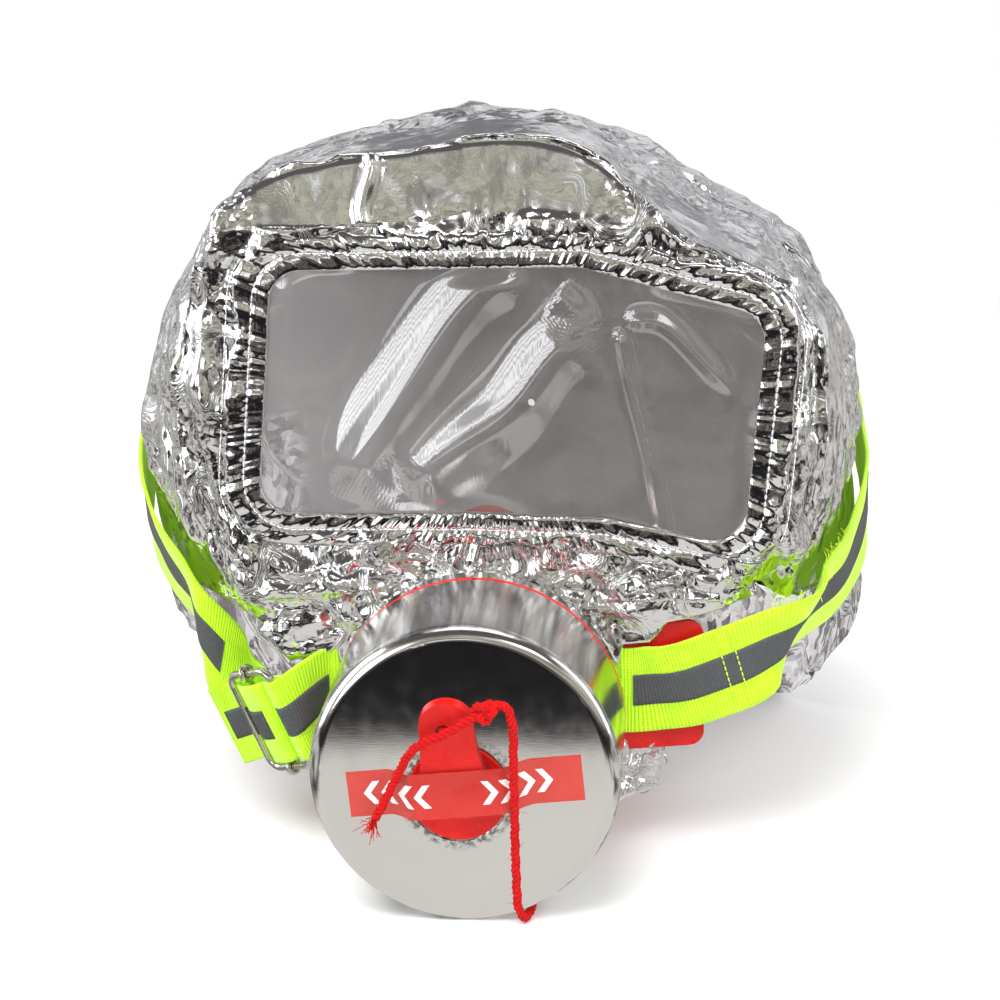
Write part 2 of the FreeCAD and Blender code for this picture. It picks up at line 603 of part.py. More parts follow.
def on_hood(side, rear_y, bearing, z):
    """Where a level ray from the head's axis leaves the hood, through its side surface or its flat rear."""
    turn = math.radians(bearing)
    start, ahead = V(HEAD_AXIS[0], HEAD_AXIS[1], z), V(math.cos(turn), math.sin(turn), 0)
    for point in side.intersect(Part.Line(start, start + ahead))[0]:
        hit = V(point.X, point.Y, point.Z)
        if (hit - start).dot(ahead) > 0:
            return hit
    return start + ahead * ((rear_y - start.y) / ahead.y)


def hood_stations():
    """Strap stations round the hood: its middle, and its width's direction, which follows the hood's slope."""
    off = STRAP_GAP + STRAP_T / 2
    side = max(hood_volume(-off).Faces, key=lambda face: face.Area).Surface
    rear_y = HOOD_STATIONS[-1][0] + off
    half = STRAP_W / 2
    stations = []
    first, last = STRAP_HEIGHTS[0][0], STRAP_HEIGHTS[-1][0]
    for i in range(BEARINGS + 1):
        bearing = first + (last - first) * i / BEARINGS
        z = strap_height(bearing)
        low, middle, high = (on_hood(side, rear_y, bearing, z + dz) for dz in (-half, 0, half))
        stations.append([middle, (high - low).normalize()])
    return stations


def faced(stations):
    """Adds the direction the strip's outer face looks in to each (middle, width direction)."""
    last = len(stations) - 1
    result = []
    for i, (middle, across) in enumerate(stations):
        run = stations[min(i + 1, last)][0] - stations[max(i - 1, 0)][0]
        result.append((middle, across, run.cross(across).normalize()))
    return result


def ribbon(stations, width, thickness, lift=0.0):
    """Flat strip through faced stations, raised by lift towards its outer face."""
    sections = []
    for middle, across, out in stations:
        corners = [middle + across * (w * width / 2) + out * (lift + t * thickness / 2)
                   for w, t in ((-1, -1), (1, -1), (1, 1), (-1, 1))]
        sections.append(Part.makePolygon(corners + corners[:1]))
    return Part.makeLoft(sections, True, True)


def slot_stations(sign):
    """The webbing's end behind a lug, through its slot and out in front of it."""
    up = V(0, 0, 1)
    behind, ahead = MASK_FLANGE_Y1 + GAP + STRAP_T / 2, MASK_FLANGE_Y0 - GAP - STRAP_T / 2
    middle = (behind + ahead) / 2
    points = [(14.0, behind), (3.6, behind), (1.2, behind - 0.2), (0.0, behind - 1.4), (0.0, middle),
              (0.0, ahead + 1.4), (1.2, ahead + 0.2), (3.6, ahead), (6.0, ahead - 0.2)]
    return [[V(sign * (SLOT_X + x), y, SLOT_Z), up] for x, y in points]


def head_strap_stations():
    lean = V(-0.28, 0, 0.96).normalize()
    right = [[V(70, -79.6, 63.5), lean], [V(84, -80.6, 68), lean], [V(98, -81, 73.5), lean],
             [V(108, -81, 78.5), V(-0.1, -0.05, 1).normalize()],
             [V(115, -80, 82), V(0.15, -0.1, 1).normalize()],
             [V(120, -74, 86.5), V(0.4, -0.1, 0.9).normalize()]]
    left = [[V(-107, -64, 81), V(0, 0, 1)], [V(-100, -64, 70), V(0.2, 0.1, 0.97).normalize()],
            [V(-92, -61, 60), V(0.05, 0.05, 1).normalize()],
            [V(-86, -60, 53.5), V(-0.2, 0, 0.98).normalize()]]
    across = BAR_DIR * -1
    weave = [[at_buckle(s, n), across] for s, n in WEAVE]
    return faced(slot_stations(1) + right + hood_stations() + left + weave)


def tab_strap_stations():
    across = BAR_DIR * -1
    around = [(-16.8, 2.3), (-12.5, 2.6), (-10.7, 1.8), (-9.9, 0), (-10.7, -1.8), (-12.5, -2.6), (-17, -1.7)]
    return faced(slot_stations(-1) + [[at_buckle(s, n), across] for s, n in around])


def main():
    os.makedirs("parts", exist_ok=True)
    export("canister_front_shell", canister_front_shell())
    export("canister_rear_shell", canister_rear_shell())
    export("seam_ring", seam_ring())
    export("inlet_screen", perforated_disc(-142.0, 1.0))
    export("dust_felt", disc(-141.0, -138.0, BED_R))
    export("pleated_filter", pleated_filter(-138.0 + GAP, -124.0 - GAP))
    export("separator_felt", disc(-124.0, -122.0, BED_R))
    export("catalyst_bed", disc(-122.0, -108.0, BED_R))
    export("middle_felt", disc(-108.0, -106.0, BED_R))
    export("carbon_bed", disc(-106.0, -90.0, BED_R))
    export("rear_felt", disc(-90.0, -88.5, BED_R - 1))
    export("bed_retainer_plate", perforated_disc(-88.5, 1.0))
    export("bed_spring", bed_spring(-87.5, CAN_REAR - CAN_WALL))
    export("front_plug", front_plug())
    export("rear_plug", rear_plug())
    export("pull_cord", pull_cord())
    export("seal_label", seal_label())
    export("inhale_valve_seat", inhale_valve_seat())
    export("inhale_valve_disc", inhale_valve_disc())
    export("exhale_valve_seat", exhale_valve_seat())
    export("exhale_valve_disc", exhale_valve_disc())
    export("exhale_valve_cage", exhale_valve_cage())
    export("half_mask", half_mask())
    export("mask_clamp_band", mask_clamp_band())
    export("hood_gasket", hood_gasket())
    for name, panel in hood_panels().items():
        export(name, panel)
    export("visor_binding", visor_binding())
    export("visor", visor())
    export("neck_elastic", neck_elastic())
    strap, tab = head_strap_stations(), tab_strap_stations()
    slot_count, weave_count = len(slot_stations(1)), len(WEAVE)
    lift = (STRAP_T + REFLECT_T) / 2 + 0.03
    export("head_strap", ribbon(strap, STRAP_W, STRAP_T))
    export("head_strap_reflector", ribbon(strap[slot_count:-weave_count - 2], REFLECT_W, REFLECT_T, lift))
    export("strap_tail_reflector", ribbon(strap[6 - weave_count:], REFLECT_W, REFLECT_T, -lift))
    export("tab_strap", ribbon(tab, STRAP_W, STRAP_T))
    export("tab_reflector", ribbon(tab[slot_count - 1:slot_count + 2], REFLECT_W, REFLECT_T, -lift))
    export("buckle_frame", buckle_frame())
    export("buckle_bar", buckle_bar())


main()
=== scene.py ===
import json
import math

import bpy
import numpy as np
from mathutils import Matrix, Vector
from mathutils.bvhtree import BVHTree
from mathutils.kdtree import KDTree


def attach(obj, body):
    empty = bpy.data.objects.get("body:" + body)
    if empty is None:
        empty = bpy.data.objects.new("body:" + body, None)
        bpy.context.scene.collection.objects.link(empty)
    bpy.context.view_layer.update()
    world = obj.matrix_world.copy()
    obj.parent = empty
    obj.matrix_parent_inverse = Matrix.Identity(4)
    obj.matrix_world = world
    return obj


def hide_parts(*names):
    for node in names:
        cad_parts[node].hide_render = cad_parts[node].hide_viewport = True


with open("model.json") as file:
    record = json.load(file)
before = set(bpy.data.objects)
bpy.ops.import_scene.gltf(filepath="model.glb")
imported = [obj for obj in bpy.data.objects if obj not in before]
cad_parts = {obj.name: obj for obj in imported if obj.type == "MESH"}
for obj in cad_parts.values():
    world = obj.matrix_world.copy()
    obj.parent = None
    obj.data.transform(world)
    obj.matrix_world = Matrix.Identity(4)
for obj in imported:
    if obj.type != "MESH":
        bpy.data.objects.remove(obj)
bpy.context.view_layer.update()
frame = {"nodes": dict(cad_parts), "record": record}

# Lengths in this script are millimetres, like the CAD source's, until build_mesh() turns them into metres.
MM = 0.001
DETAIL = 1.0     # share of the full mesh density

# ---------------------------------------------------------------- driving sizes, as in the CAD source
CAN_FRONT = -150.0
AXIS_Z = 55.0
INLET = (-2.0, 49.5)
FRONT_Y = -78.0
# Middles (x, z) of the window's round corners, and a point inside it that sees its whole outline.
WINDOW_CORNERS = [(-61.5, 209.9), (38, 210.4), (93.3, 195), (87.5, 133.2), (50, 141.5), (0, 143.5),
                  (-67.5, 143.5)]
WINDOW_CORNER_R = 12.0
WINDOW_MIDDLE = np.array([12.0, 174.0])
BINDING = 13.0         # width of the foil band round the window
STRAP_W = 33.0
STRAP_T = 1.4
REFLECT_W = 12.0
REFLECT_T = 0.3
# Outlines of the hood (x, z) at three depths, each from its lowest point round to the right.
FRONT_OUTLINE = [(0, -16), (38, -16), (64, 10), (94, 74), (118, 110), (128, 168), (122, 207), (82, 230),
                 (42, 262), (-28, 264), (-89, 245), (-107, 205), (-105, 135), (-84, 84), (-62, 10),
                 (-38, -16)]
MIDDLE_OUTLINE = [(0, -20), (60, -20), (116, 5), (145, 70), (145, 116), (141, 170), (122, 214), (82, 241),
                  (34, 268), (-30, 264), (-86, 246), (-118, 212), (-137, 155), (-131, 84), (-100, 5),
                  (-60, -20)]
BACK_OUTLINE = [(0, -12), (60, -12), (116, 2), (140, 60), (138, 115), (126, 165), (104, 205), (66, 230),
                (24, 242), (-28, 240), (-74, 226), (-106, 192), (-122, 145), (-116, 80), (-90, 5),
                (-50, -12)]
BACK_CENTRE = (8.0, 125.0)
# Depth y of each station and its shares of the three outlines; the rest is the middle of the back.
HOOD_STATIONS = [(-78, 1, 0, 0), (-52, 0.5, 0.5, 0), (-18, 0.1, 0.9, 0), (15, 0, 1, 0),
                 (55, 0, 0.62, 0.38), (88, 0, 0, 1), (105, 0, 0, 0.94), (117, 0, 0, 0.8),
                 (125, 0, 0, 0.58)]
# Lower edge (y, z) of the sides, arched over the strap.
ARCH = [(-66, 95), (-50, 94), (-25, 84), (5, 62), (40, 34), (72, 12), (98, 0)]
# Lower edge of the foil in front, from the outline's point 4 down round the neck and up to its point 12.
LOWER_EDGE = [(118, 110), (100, 98), (86, 93), (71, 89), (64, 81), (54, 80), (46, 44), (36, 12), (0, 4),
              (-36, 12), (-46, 44), (-54, 78), (-60, 75), (-72, 73), (-95, 97), (-105, 135)]
LOW_FIRST, LOW_LAST = 4, 12
# Seams between the hood's five panels, and the height of the rear hem.
SEAM_LEFT, SEAM_RIGHT = -98, 112
CROWN_Z = 155
FRONT_SEAM_Y, REAR_SEAM_Y = -70, 62
HEM_H = 10
RIB_PITCH = 1.25       # of the webbing and its stripe
ABOVE_TABLE = 0.3      # nothing soft goes lower


# ---------------------------------------------------------------- curves
def second_slopes(h, values, closed):
    """Second derivatives of the cubic through values, which lie h apart."""
    n = len(values)
    a = np.zeros((n, n))
    rhs = np.zeros(values.shape)
    for i in range(n):
        if not closed and i in (0, n - 1):
            a[i, i] = 1.0
            continue
        j = (i + 1) % n
        a[i, i - 1] += h[i - 1]
        a[i, i] += 2 * (h[i - 1] + h[i])
        a[i, j] += h[i]
        rhs[i] = 6 * ((values[j] - values[i]) / h[i] - (values[i] - values[i - 1]) / h[i - 1])
    return np.linalg.solve(a, rhs.reshape(n, -1)).reshape(values.shape)


def cubic(values, slopes, h, i, j, f):
    """Cubic between values i and j at the fraction f of the step h."""
    g = 1 - f
    return g * values[i] + f * values[j] + h * h / 6 * ((g**3 - g) * slopes[i] + (f**3 - f) * slopes[j])


def closed_curve(points, t):
    """Points at running numbers t of the smooth closed curve through points."""
    p = np.array(points, float)
    h = np.linalg.norm(np.roll(p, -1, 0) - p, axis=1)
    slopes = second_slopes(h, p, True)
    t = np.mod(t, len(p))
    i = np.floor(t).astype(int)
    return cubic(p, slopes, h[i][:, None], i, (i + 1) % len(p), (t - i)[:, None])


def smooth_path(points, step):
    """Points about step apart on the smooth open curve through points, and how far along each is."""
    p = np.array(points, float)
    h = np.linalg.norm(np.diff(p[:, :3], axis=0), axis=1) ** 0.5
    knots = np.concatenate([[0], np.cumsum(h)])
    slopes = second_slopes(h, p, False)
    fine = np.linspace(0, knots[-1], 40 * len(p))
    i = np.clip(np.searchsorted(knots, fine, "right") - 1, 0, len(p) - 2)
    q = cubic(p, slopes, h[i][:, None], i, i + 1, ((fine - knots[i]) / h[i])[:, None])
    along = np.concatenate([[0], np.cumsum(np.linalg.norm(np.diff(q[:, :3], axis=0), axis=1))])
    even = np.linspace(0, along[-1], max(3, int(along[-1] / step) + 1))
    return np.stack([np.interp(even, along, q[:, k]) for k in range(q.shape[1])], 1), even


def unit(v):
    """Vectors scaled to length 1."""
    return v / np.maximum(np.linalg.norm(v, axis=-1, keepdims=True), 1e-9)


def smoothstep(lo, hi, x):
    """0 at lo, 1 at hi, smooth between them; lo may be the larger one."""
    t = np.clip((x - lo) / (hi - lo), 0, 1)
    return t * t * (3 - 2 * t)


def between(lo, full_from, full_to, hi, x):
    """1 from full_from to full_to, falling smoothly to 0 at lo and hi."""
    return smoothstep(lo, full_from, x) * smoothstep(hi, full_to, x)


def bump_at(x, centre, width):
    """Smooth bump of height 1."""
    return np.exp(-((x - centre) / width) ** 2)


def carried_frame(path, hint):
    """Tangents of a path, and two directions across it that are carried along without twisting."""
    tangent = unit(np.gradient(path, axis=0))
    normal = np.zeros_like(path)
    normal[0] = unit(np.cross(tangent[0], hint))
    for i in range(1, len(path)):
        normal[i] = unit(normal[i - 1] - tangent[i] * (normal[i - 1] @ tangent[i]))
    return tangent, normal, np.cross(tangent, normal)


# ---------------------------------------------------------------- noise
def waves(p, size, seed, count=5):
    """Smooth noise of about unit height from a few sine waves of roughly one size."""
    rng = np.random.default_rng(seed)
    total = np.zeros(p.shape[:-1])
    for _ in range(count):
        k = rng.normal(size=p.shape[-1])
        k *= rng.uniform(0.7, 1.3) / np.linalg.norm(k)
        total += np.sin(p @ k * (2 * math.pi / size) + rng.uniform(0, 2 * math.pi))
    return total / math.sqrt(count)


def corner_height(corner, seed):
    """Repeatable height between -1 and 1 for a corner of the noise lattice: an integer hash."""
    h = corner[..., 0] * 73856093 ^ corner[..., 1] * 19349663 ^ corner[..., 2] * 83492791 ^ seed * 7919
    h = h & 0xFFFFFFFF
    h = ((h ^ (h >> 15)) * 2246822519) & 0xFFFFFFFF
    h = ((h ^ (h >> 13)) * 3266489917) & 0xFFFFFFFF
    return (h & 0xFFFFF) / 0x7FFFF - 1.0


def facets(p, size, seed, stretch=(1, 1, 1)):
    """Crumpled-foil noise: flat facets of about one size that meet in creases, height -1 to 1."""
    rng = np.random.default_rng(seed)
    turn = np.linalg.qr(rng.normal(size=(3, 3)))[0]
    q = p / np.array(stretch)
    q = q + np.stack([waves(p, size * 2.6, seed + 11 + k) for k in range(3)], -1) * size * 0.22
    q = q @ turn.T / size
    q = q + q.sum(-1, keepdims=True) / 3
    base = np.floor(q).astype(np.int64)
    f = q - base
    order = np.argsort(-f, axis=-1)
    f = np.take_along_axis(f, order, -1)
    corner = base.copy()
    total = (1 - f[..., 0]) * corner_height(corner, seed)
    weights = (f[..., 0] - f[..., 1], f[..., 1] - f[..., 2], f[..., 2])
    for k in range(3):
        step = np.zeros_like(corner)
        np.put_along_axis(step, order[..., k:k + 1], 1, -1)
        corner = corner + step
        total += weights[k] * corner_height(corner, seed)
    return total


# ---------------------------------------------------------------- meshes
def add_object(name, data):
    """New object in the scene."""
    obj = bpy.data.objects.new(name, data)
    bpy.context.scene.collection.objects.link(obj)
    return obj


def build_mesh(name, vertices, faces, material, slot, body="hood", replaces=(), uv=None, attributes=None):
    """Piece that rides on a body, from vertices in millimetres; uv holds one pair per vertex."""
    mesh = bpy.data.meshes.new(name)
    mesh.from_pydata((np.asarray(vertices) * MM).tolist(), [], [list(f) for f in faces])
    mesh.polygons.foreach_set("use_smooth", np.full(len(mesh.polygons), True))
    if uv is not None:
        loops = np.zeros(len(mesh.loops), np.int32)
        mesh.loops.foreach_get("vertex_index", loops)
        layer = mesh.uv_layers.new(name="UVMap")
        layer.data.foreach_set("uv", np.asarray(uv, np.float32)[loops].ravel())
    for key, values in (attributes or {}).items():
        layer = mesh.attributes.new(key, "FLOAT", "POINT")
        layer.data.foreach_set("value", np.asarray(values, np.float32))
    mesh.materials.append(material)
    mesh.validate()
    obj = add_object(name, mesh)
    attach(obj, body)
    if replaces:
        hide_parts(*replaces)


def grid_faces(rows, cols, closed_cols=False):
    """Quads of a grid of vertices stored row by row."""
    r = np.arange(rows - 1)
    c = np.arange(cols if closed_cols else cols - 1)
    r, c = [x.ravel() for x in np.meshgrid(r, c, indexing="ij")]
    r1, c1 = r + 1, (c + 1) % cols
    return np.stack([r * cols + c, r * cols + c1, r1 * cols + c1, r1 * cols + c], 1)


def vertex_normals(p, quads):
    """Normals at the points, averaged over the faces that meet there."""
    n = np.cross(p[quads[:, 2]] - p[quads[:, 0]], p[quads[:, 3]] - p[quads[:, 1]])
    total = np.zeros_like(p)
    for k in range(4):
        np.add.at(total, quads[:, k], n)
    return unit(total)


class Soup:
    """Many small parts gathered into one mesh."""

    def __init__(self):
        self.vertices, self.faces, self.count = [], [], 0

    def tube(self, path, radius, sides):
        """Round tube along a path of points, with closed ends; radius may change along it."""
        path = np.asarray(path, float)
        n = len(path)
        radius = np.broadcast_to(radius, (n,))
        tangent, normal, other = carried_frame(path, [0.31, 0.52, 0.79])
        turn = np.arange(sides) * 2 * math.pi / sides
        ring = normal[:, None] * np.cos(turn)[None, :, None] + other[:, None] * np.sin(turn)[None, :, None]
        body = (path[:, None] + ring * radius[:, None, None]).reshape(-1, 3)
        tips = [path[:1] - tangent[:1] * radius[0] * 0.6, path[-1:] + tangent[-1:] * radius[-1] * 0.6]
        start, end, last = n * sides, n * sides + 1, (n - 1) * sides
        faces = grid_faces(n, sides, closed_cols=True).tolist()
        for k in range(sides):
            k1 = (k + 1) % sides
            faces += [[start, k1, k], [end, last + k, last + k1]]
        self.vertices += [body, *tips]
        self.faces += [[i + self.count for i in face] for face in faces]
        self.count += len(body) + 2

    def build(self, name, material, slot, **options):
        build_mesh(name, np.concatenate(self.vertices), self.faces, material, slot, **options)


# ---------------------------------------------------------------- node materials
HALF = (0.5, 0.5, 0.5)


class Nodes:
    """Short forms for the node calls that the materials below need."""

    def __init__(self, owner):
        owner.use_nodes = True
        self.owner = owner
        self.tree = owner.node_tree
        self.tree.nodes.clear()

    def put(self, socket, value):
        if isinstance(value, bpy.types.NodeSocket):
            self.tree.links.new(value, socket)
        elif isinstance(value, (tuple, list)) and socket.type == "RGBA" and len(value) == 3:
            socket.default_value = (*value, 1.0)
        else:
            socket.default_value = value

    def make(self, kind, inputs=None, output=0, **settings):
        node = self.tree.nodes.new(kind)
        for key, value in settings.items():
            setattr(node, key, value)
        for key, value in (inputs or {}).items():
            self.put(node.inputs[key], value)
        return node.outputs[output]

    def math(self, operation, a, b=0.0):
        return self.make("ShaderNodeMath", {0: a, 1: b}, operation=operation)

    def plus(self, a, b):
        return self.math("ADD", a, b)

    def minus(self, a, b):
        return self.math("SUBTRACT", a, b)

    def times(self, a, b):
        return self.math("MULTIPLY", a, b)

    def size_of(self, a):
        return self.math("ABSOLUTE", a)

    def part(self, vector, axis):
        return self.make("ShaderNodeSeparateXYZ", {0: vector}, axis)

    def geometry(self, name):
        return self.make("ShaderNodeNewGeometry", output=name)

    def ray(self, name):
        return self.make("ShaderNodeLightPath", output=name)

    def vector(self, operation, a, b=(0, 0, 0), scale=None):
        inputs = {0: a, 1: b}
        if scale is not None:
            inputs["Scale"] = scale
        output = "Value" if operation in ("DOT_PRODUCT", "LENGTH") else "Vector"
        return self.make("ShaderNodeVectorMath", inputs, output, operation=operation)

    def mix(self, factor, a, b):
        node = self.tree.nodes.new("ShaderNodeMix")
        node.data_type = "RGBA"
        self.put(node.inputs[0], factor)
        self.put(node.inputs[6], a)
        self.put(node.inputs[7], b)
        return node.outputs[2]

    def shade(self, factor, a, b):
        return self.make("ShaderNodeMixShader", {0: factor, 1: a, 2: b})

    def step(self, lo, hi, value, low=0.0, high=1.0):
        """Smooth step of value from lo to hi, giving low to high."""
        node = {"Value": value, "From Min": lo, "From Max": hi, "To Min": low, "To Max": high}
        return self.make("ShaderNodeMapRange", node, interpolation_type="SMOOTHSTEP")

    def coords(self, name="Object"):
        return self.make("ShaderNodeTexCoord", output=name)

    def noise(self, vector, scale, detail, output="Fac", rough=0.5):
        inputs = {"Vector": vector, "Scale": scale, "Detail": detail, "Roughness": rough}
        return self.make("ShaderNodeTexNoise", inputs, output)

    def streaks(self, vector, scales, detail, rough=0.5):
        """Noise with its own scale along each axis."""
        return self.noise(self.scaled(vector, scales), 1.0, detail, rough=rough)

    def cells(self, vector, scale, output="Color"):
        return self.make("ShaderNodeTexVoronoi", {"Vector": vector, "Scale": scale}, output)

    def scaled(self, vector, by):
        return self.vector("MULTIPLY", vector, by)

    def bump(self, height, strength=0.5, distance=0.001, normal=None):
        inputs = {"Height": height, "Strength": strength, "Distance": distance}
        if normal is not None:
            inputs["Normal"] = normal
        return self.make("ShaderNodeBump", inputs)

    def principled(self, **inputs):
        names = {"color": "Base Color", "metallic": "Metallic", "roughness": "Roughness", "normal": "Normal",
                 "coat": "Coat Weight", "coat_rough": "Coat Roughness", "sheen": "Sheen Weight",
                 "subsurface": "Subsurface Weight", "radius": "Subsurface Radius",
                 "sss_scale": "Subsurface Scale", "specular": "Specular IOR Level",
                 "emission": "Emission Color", "emission_strength": "Emission Strength"}
        return self.make("ShaderNodeBsdfPrincipled", {names[k]: v for k, v in inputs.items()})

    def emission(self, color, strength=1.0):
        return self.make("ShaderNodeEmission", {"Color": color, "Strength": strength})

    def done(self, surface, kind="ShaderNodeOutputMaterial"):
        """Ends the tree, and gives back the material or the world that it belongs to."""
        out = self.tree.nodes.new(kind)
        self.tree.links.new(surface, out.inputs["Surface"])
        return self.owner


def material(name):
    """Nodes of a new material."""
    return Nodes(bpy.data.materials.new(name))


def foil_tilt(n, p, shape, calm):
    """Sum of cells of three sizes, each cell tilted its own way."""
    tilt = None
    for scale, amount in ((110, 0.20), (260, 0.30), (520, 0.22)):
        cell = n.vector("SUBTRACT", n.cells(n.scaled(p, shape), scale), HALF)
        cell = n.vector("SCALE", cell, scale=n.times(calm, amount))
        tilt = cell if tilt is None else n.vector("ADD", tilt, cell)
    return tilt


def foil_lining(n, p, q, shape, metal):
    """Inside of the hood: matt grey, but shiny low down and on the flanks, with painted glints there: cells
    of emission that glow.
    """
    dents = n.bump(n.noise(p, 90, 4), 0.7, 0.003)
    backing = n.principled(color=(0.60, 0.59, 0.58), roughness=0.5, normal=dents)
    x, z = n.part(p, "X"), n.part(p, "Z")
    flank = n.times(n.step(0.095, 0.105, n.size_of(n.minus(x, 0.006))), n.step(0.128, 0.118, z))
    low = n.math("MAXIMUM", flank, n.step(0.058, 0.048, z))
    # Painted glints: bright cells of emission, a glow that stands in for highlights.
    coarse, fine = [n.part(n.cells(n.scaled(q, shape), scale), "X") for scale in (90, 330)]
    painted_glint = n.plus(n.times(coarse, 0.45), n.times(fine, 0.55))
    strength = n.step(0.25, 0.75, painted_glint, 0.03, 1.15)
    painted_glint_glow = n.emission((1.0, 0.97, 0.98), strength)
    return n.shade(n.times(low, 0.85), backing, n.shade(0.55, metal, painted_glint_glow))


def foil_material():
    """Bright metallised film: crisp facets and creases, calm where the mesh says so."""
    n = material("foil")
    p = n.coords()
    calm = n.make("ShaderNodeAttribute", {}, "Fac", attribute_name="crumple")
    warp = n.scaled(n.vector("SUBTRACT", n.noise(p, 90, 2, "Color"), HALF), (0.008, 0.008, 0.008))
    q = n.vector("ADD", p, warp)
    # Long shards of foil, upright in some places and level in others.
    upright = n.step(0.46, 0.54, n.noise(p, 28, 1))
    shape = n.mix(upright, (0.40, 1.0, 1.0), (1.0, 1.0, 0.34))
    tilted = n.vector("ADD", n.geometry("Normal"), foil_tilt(n, q, shape, calm))
    normal = n.bump(n.noise(q, 900, 3), 0.08, 0.0004, n.vector("NORMALIZE", tilted))
    shade = n.mix(n.noise(p, 120, 3), (0.90, 0.90, 0.91), (0.97, 0.97, 0.97))
    metal = n.principled(color=shade, metallic=1.0, roughness=0.13, normal=normal)
    return n.done(n.shade(n.geometry("Backfacing"), metal, foil_lining(n, p, q, shape, metal)))


def binding_material():
    """The same film, folded tight round the window's edge: mirror-flat between its gathers."""
    n = material("foil_binding")
    p = n.coords()
    tilt = n.vector("SCALE", n.vector("SUBTRACT", n.cells(p, 330), HALF), scale=0.07)
    normal = n.vector("NORMALIZE", n.vector("ADD", n.geometry("Normal"), tilt))
    grain = n.bump(n.noise(p, 700, 3), 0.10, 0.0004, normal)
    return n.done(n.principled(color=(0.95, 0.95, 0.96), metallic=1.0, roughness=0.10, normal=grain))


def steel_relief(n, p, face):
    """Height of the steel's surface: brushed wall, finely scratched and slightly dented face."""
    fine = n.streaks(p, (1500, 22, 1500), 3)
    broad = n.streaks(p, (120, 4, 120), 2)
    wall_height = n.plus(n.times(fine, 0.5), n.times(broad, 2.2))
    scratch = n.streaks(p, (2600, 60, 160), 4)
    cross = n.streaks(p, (190, 60, 2400), 4)
    face_height = n.plus(n.plus(scratch, cross), n.times(n.noise(p, 28, 1), 4.0))
    return n.plus(n.times(wall_height, n.minus(1.0, face)), n.times(n.times(face_height, face), 0.07))


def inlet_grime(n, p):
    """Broken ring of dirt on the face round the inlet plug."""
    inlet = n.vector("SUBTRACT", p, (INLET[0] * MM, CAN_FRONT * MM, INLET[1] * MM))
    radius = n.vector("LENGTH", n.scaled(inlet, (1, 0.3, 1)))
    ring = n.times(n.step(0.0165, 0.0185, radius), n.step(0.0225, 0.0190, radius))
    return n.times(ring, n.step(0.42, 0.62, n.noise(p, 420, 5)))


def steel_material():
    """Drawn stainless steel: a mirror face with fine scratches, and a wall brushed along the axis. Its
    colour carries painted reflections: dark and light streaks along the axis, and a face painted lighter
    than the wall.
    """
    n = material("canister_steel")
    p = n.coords()
    face = n.step(0.45, 0.9, n.size_of(n.part(n.geometry("Normal"), "Y")))
    normal = n.bump(steel_relief(n, p, face), 0.30, 0.00025)
    smudge = n.step(0.35, 0.8, n.noise(p, 140, 4), 0.10, 0.15)
    rough = n.plus(smudge, n.times(n.minus(1.0, face), 0.08))
    grime = inlet_grime(n, p)
    # Painted reflections: dark and light streaks along the axis in the steel's colour, lighter on the face.
    painted_reflection_bands = n.plus(n.streaks(p, (150, 2, 150), 3), n.times(face, 0.5))
    steel = n.mix(n.step(0.36, 0.62, painted_reflection_bands), (0.36, 0.36, 0.37), (0.88, 0.87, 0.85))
    color = n.mix(n.times(grime, 0.75), steel, (0.10, 0.07, 0.05))
    rough = n.plus(rough, n.times(grime, 0.5))
    return n.done(n.principled(color=color, metallic=1.0, roughness=rough, normal=normal))


def rubber_material(name, color, rough, depth):
    """Moulded rubber with a faint skin texture; depth is how much light goes into it."""
    n = material(name)
    p = n.coords()
    shade = n.mix(n.step(0.35, 0.7, n.noise(p, 60, 3)), color, tuple(c * 0.82 for c in color))
    gloss = n.step(0.3, 0.7, n.noise(p, 300, 3), rough - 0.06, rough + 0.08)
    return n.done(n.principled(color=shade, roughness=gloss,
                               subsurface=depth, radius=(1.0, 0.2, 0.1), sss_scale=0.003, specular=0.28,
                               normal=n.bump(n.noise(p, 1200, 2), 0.08, 0.0003)))


def grain_material(name, color, size, metallic, rough):
    """Plain solid with a fine grain: granules, felt, paper, plastic or plain sheet metal."""
    n = material(name)
    cell = n.cells(n.coords(), 1 / size, "Distance")
    light, dark = [tuple(c * share for c in color) for share in (1.15, 0.6)]
    normal = n.bump(cell, 0.3, size * 0.4)
    shade = n.mix(n.step(0.1, 0.6, cell), light, dark)
    return n.done(n.principled(color=shade, metallic=metallic, roughness=rough, normal=normal))


def webbing_material():
    """Fluorescent webbing: ribs across it, a coarser weave along it; painted shade in the ribs' troughs, and
    a painted glow from a faint emission.
    """
    n = material("webbing")
    uv = n.coords("UV")
    x, y = n.part(uv, "X"), n.part(uv, "Y")
    wobble = n.times(n.streaks(uv, (0.5, 0.12, 1), 2), 1.2)
    ribs = n.math("SINE", n.plus(n.times(x, 2 * math.pi / RIB_PITCH), wobble))
    warp = n.math("SINE", n.times(y, 2 * math.pi / 0.9))
    height = n.plus(ribs, n.times(warp, 0.35))
    patch = n.step(0.3, 0.75, n.streaks(uv, (0.09, 0.16, 1), 3))
    color = n.mix(patch, (0.42, 0.80, 0.0), (0.54, 0.92, 0.005))
    # Painted shade: the ribs' troughs are darkened.
    color = n.mix(n.step(-1.0, -0.2, ribs, 0.35, 0.0), color, (0.24, 0.50, 0.0))
    # Painted glow: a faint emission brightens the webbing.
    return n.done(n.principled(color=color, roughness=0.62, sheen=0.25, normal=n.bump(height, 0.45, 0.0004),
                               emission=(0.45, 0.85, 0.0), emission_strength=0.10))


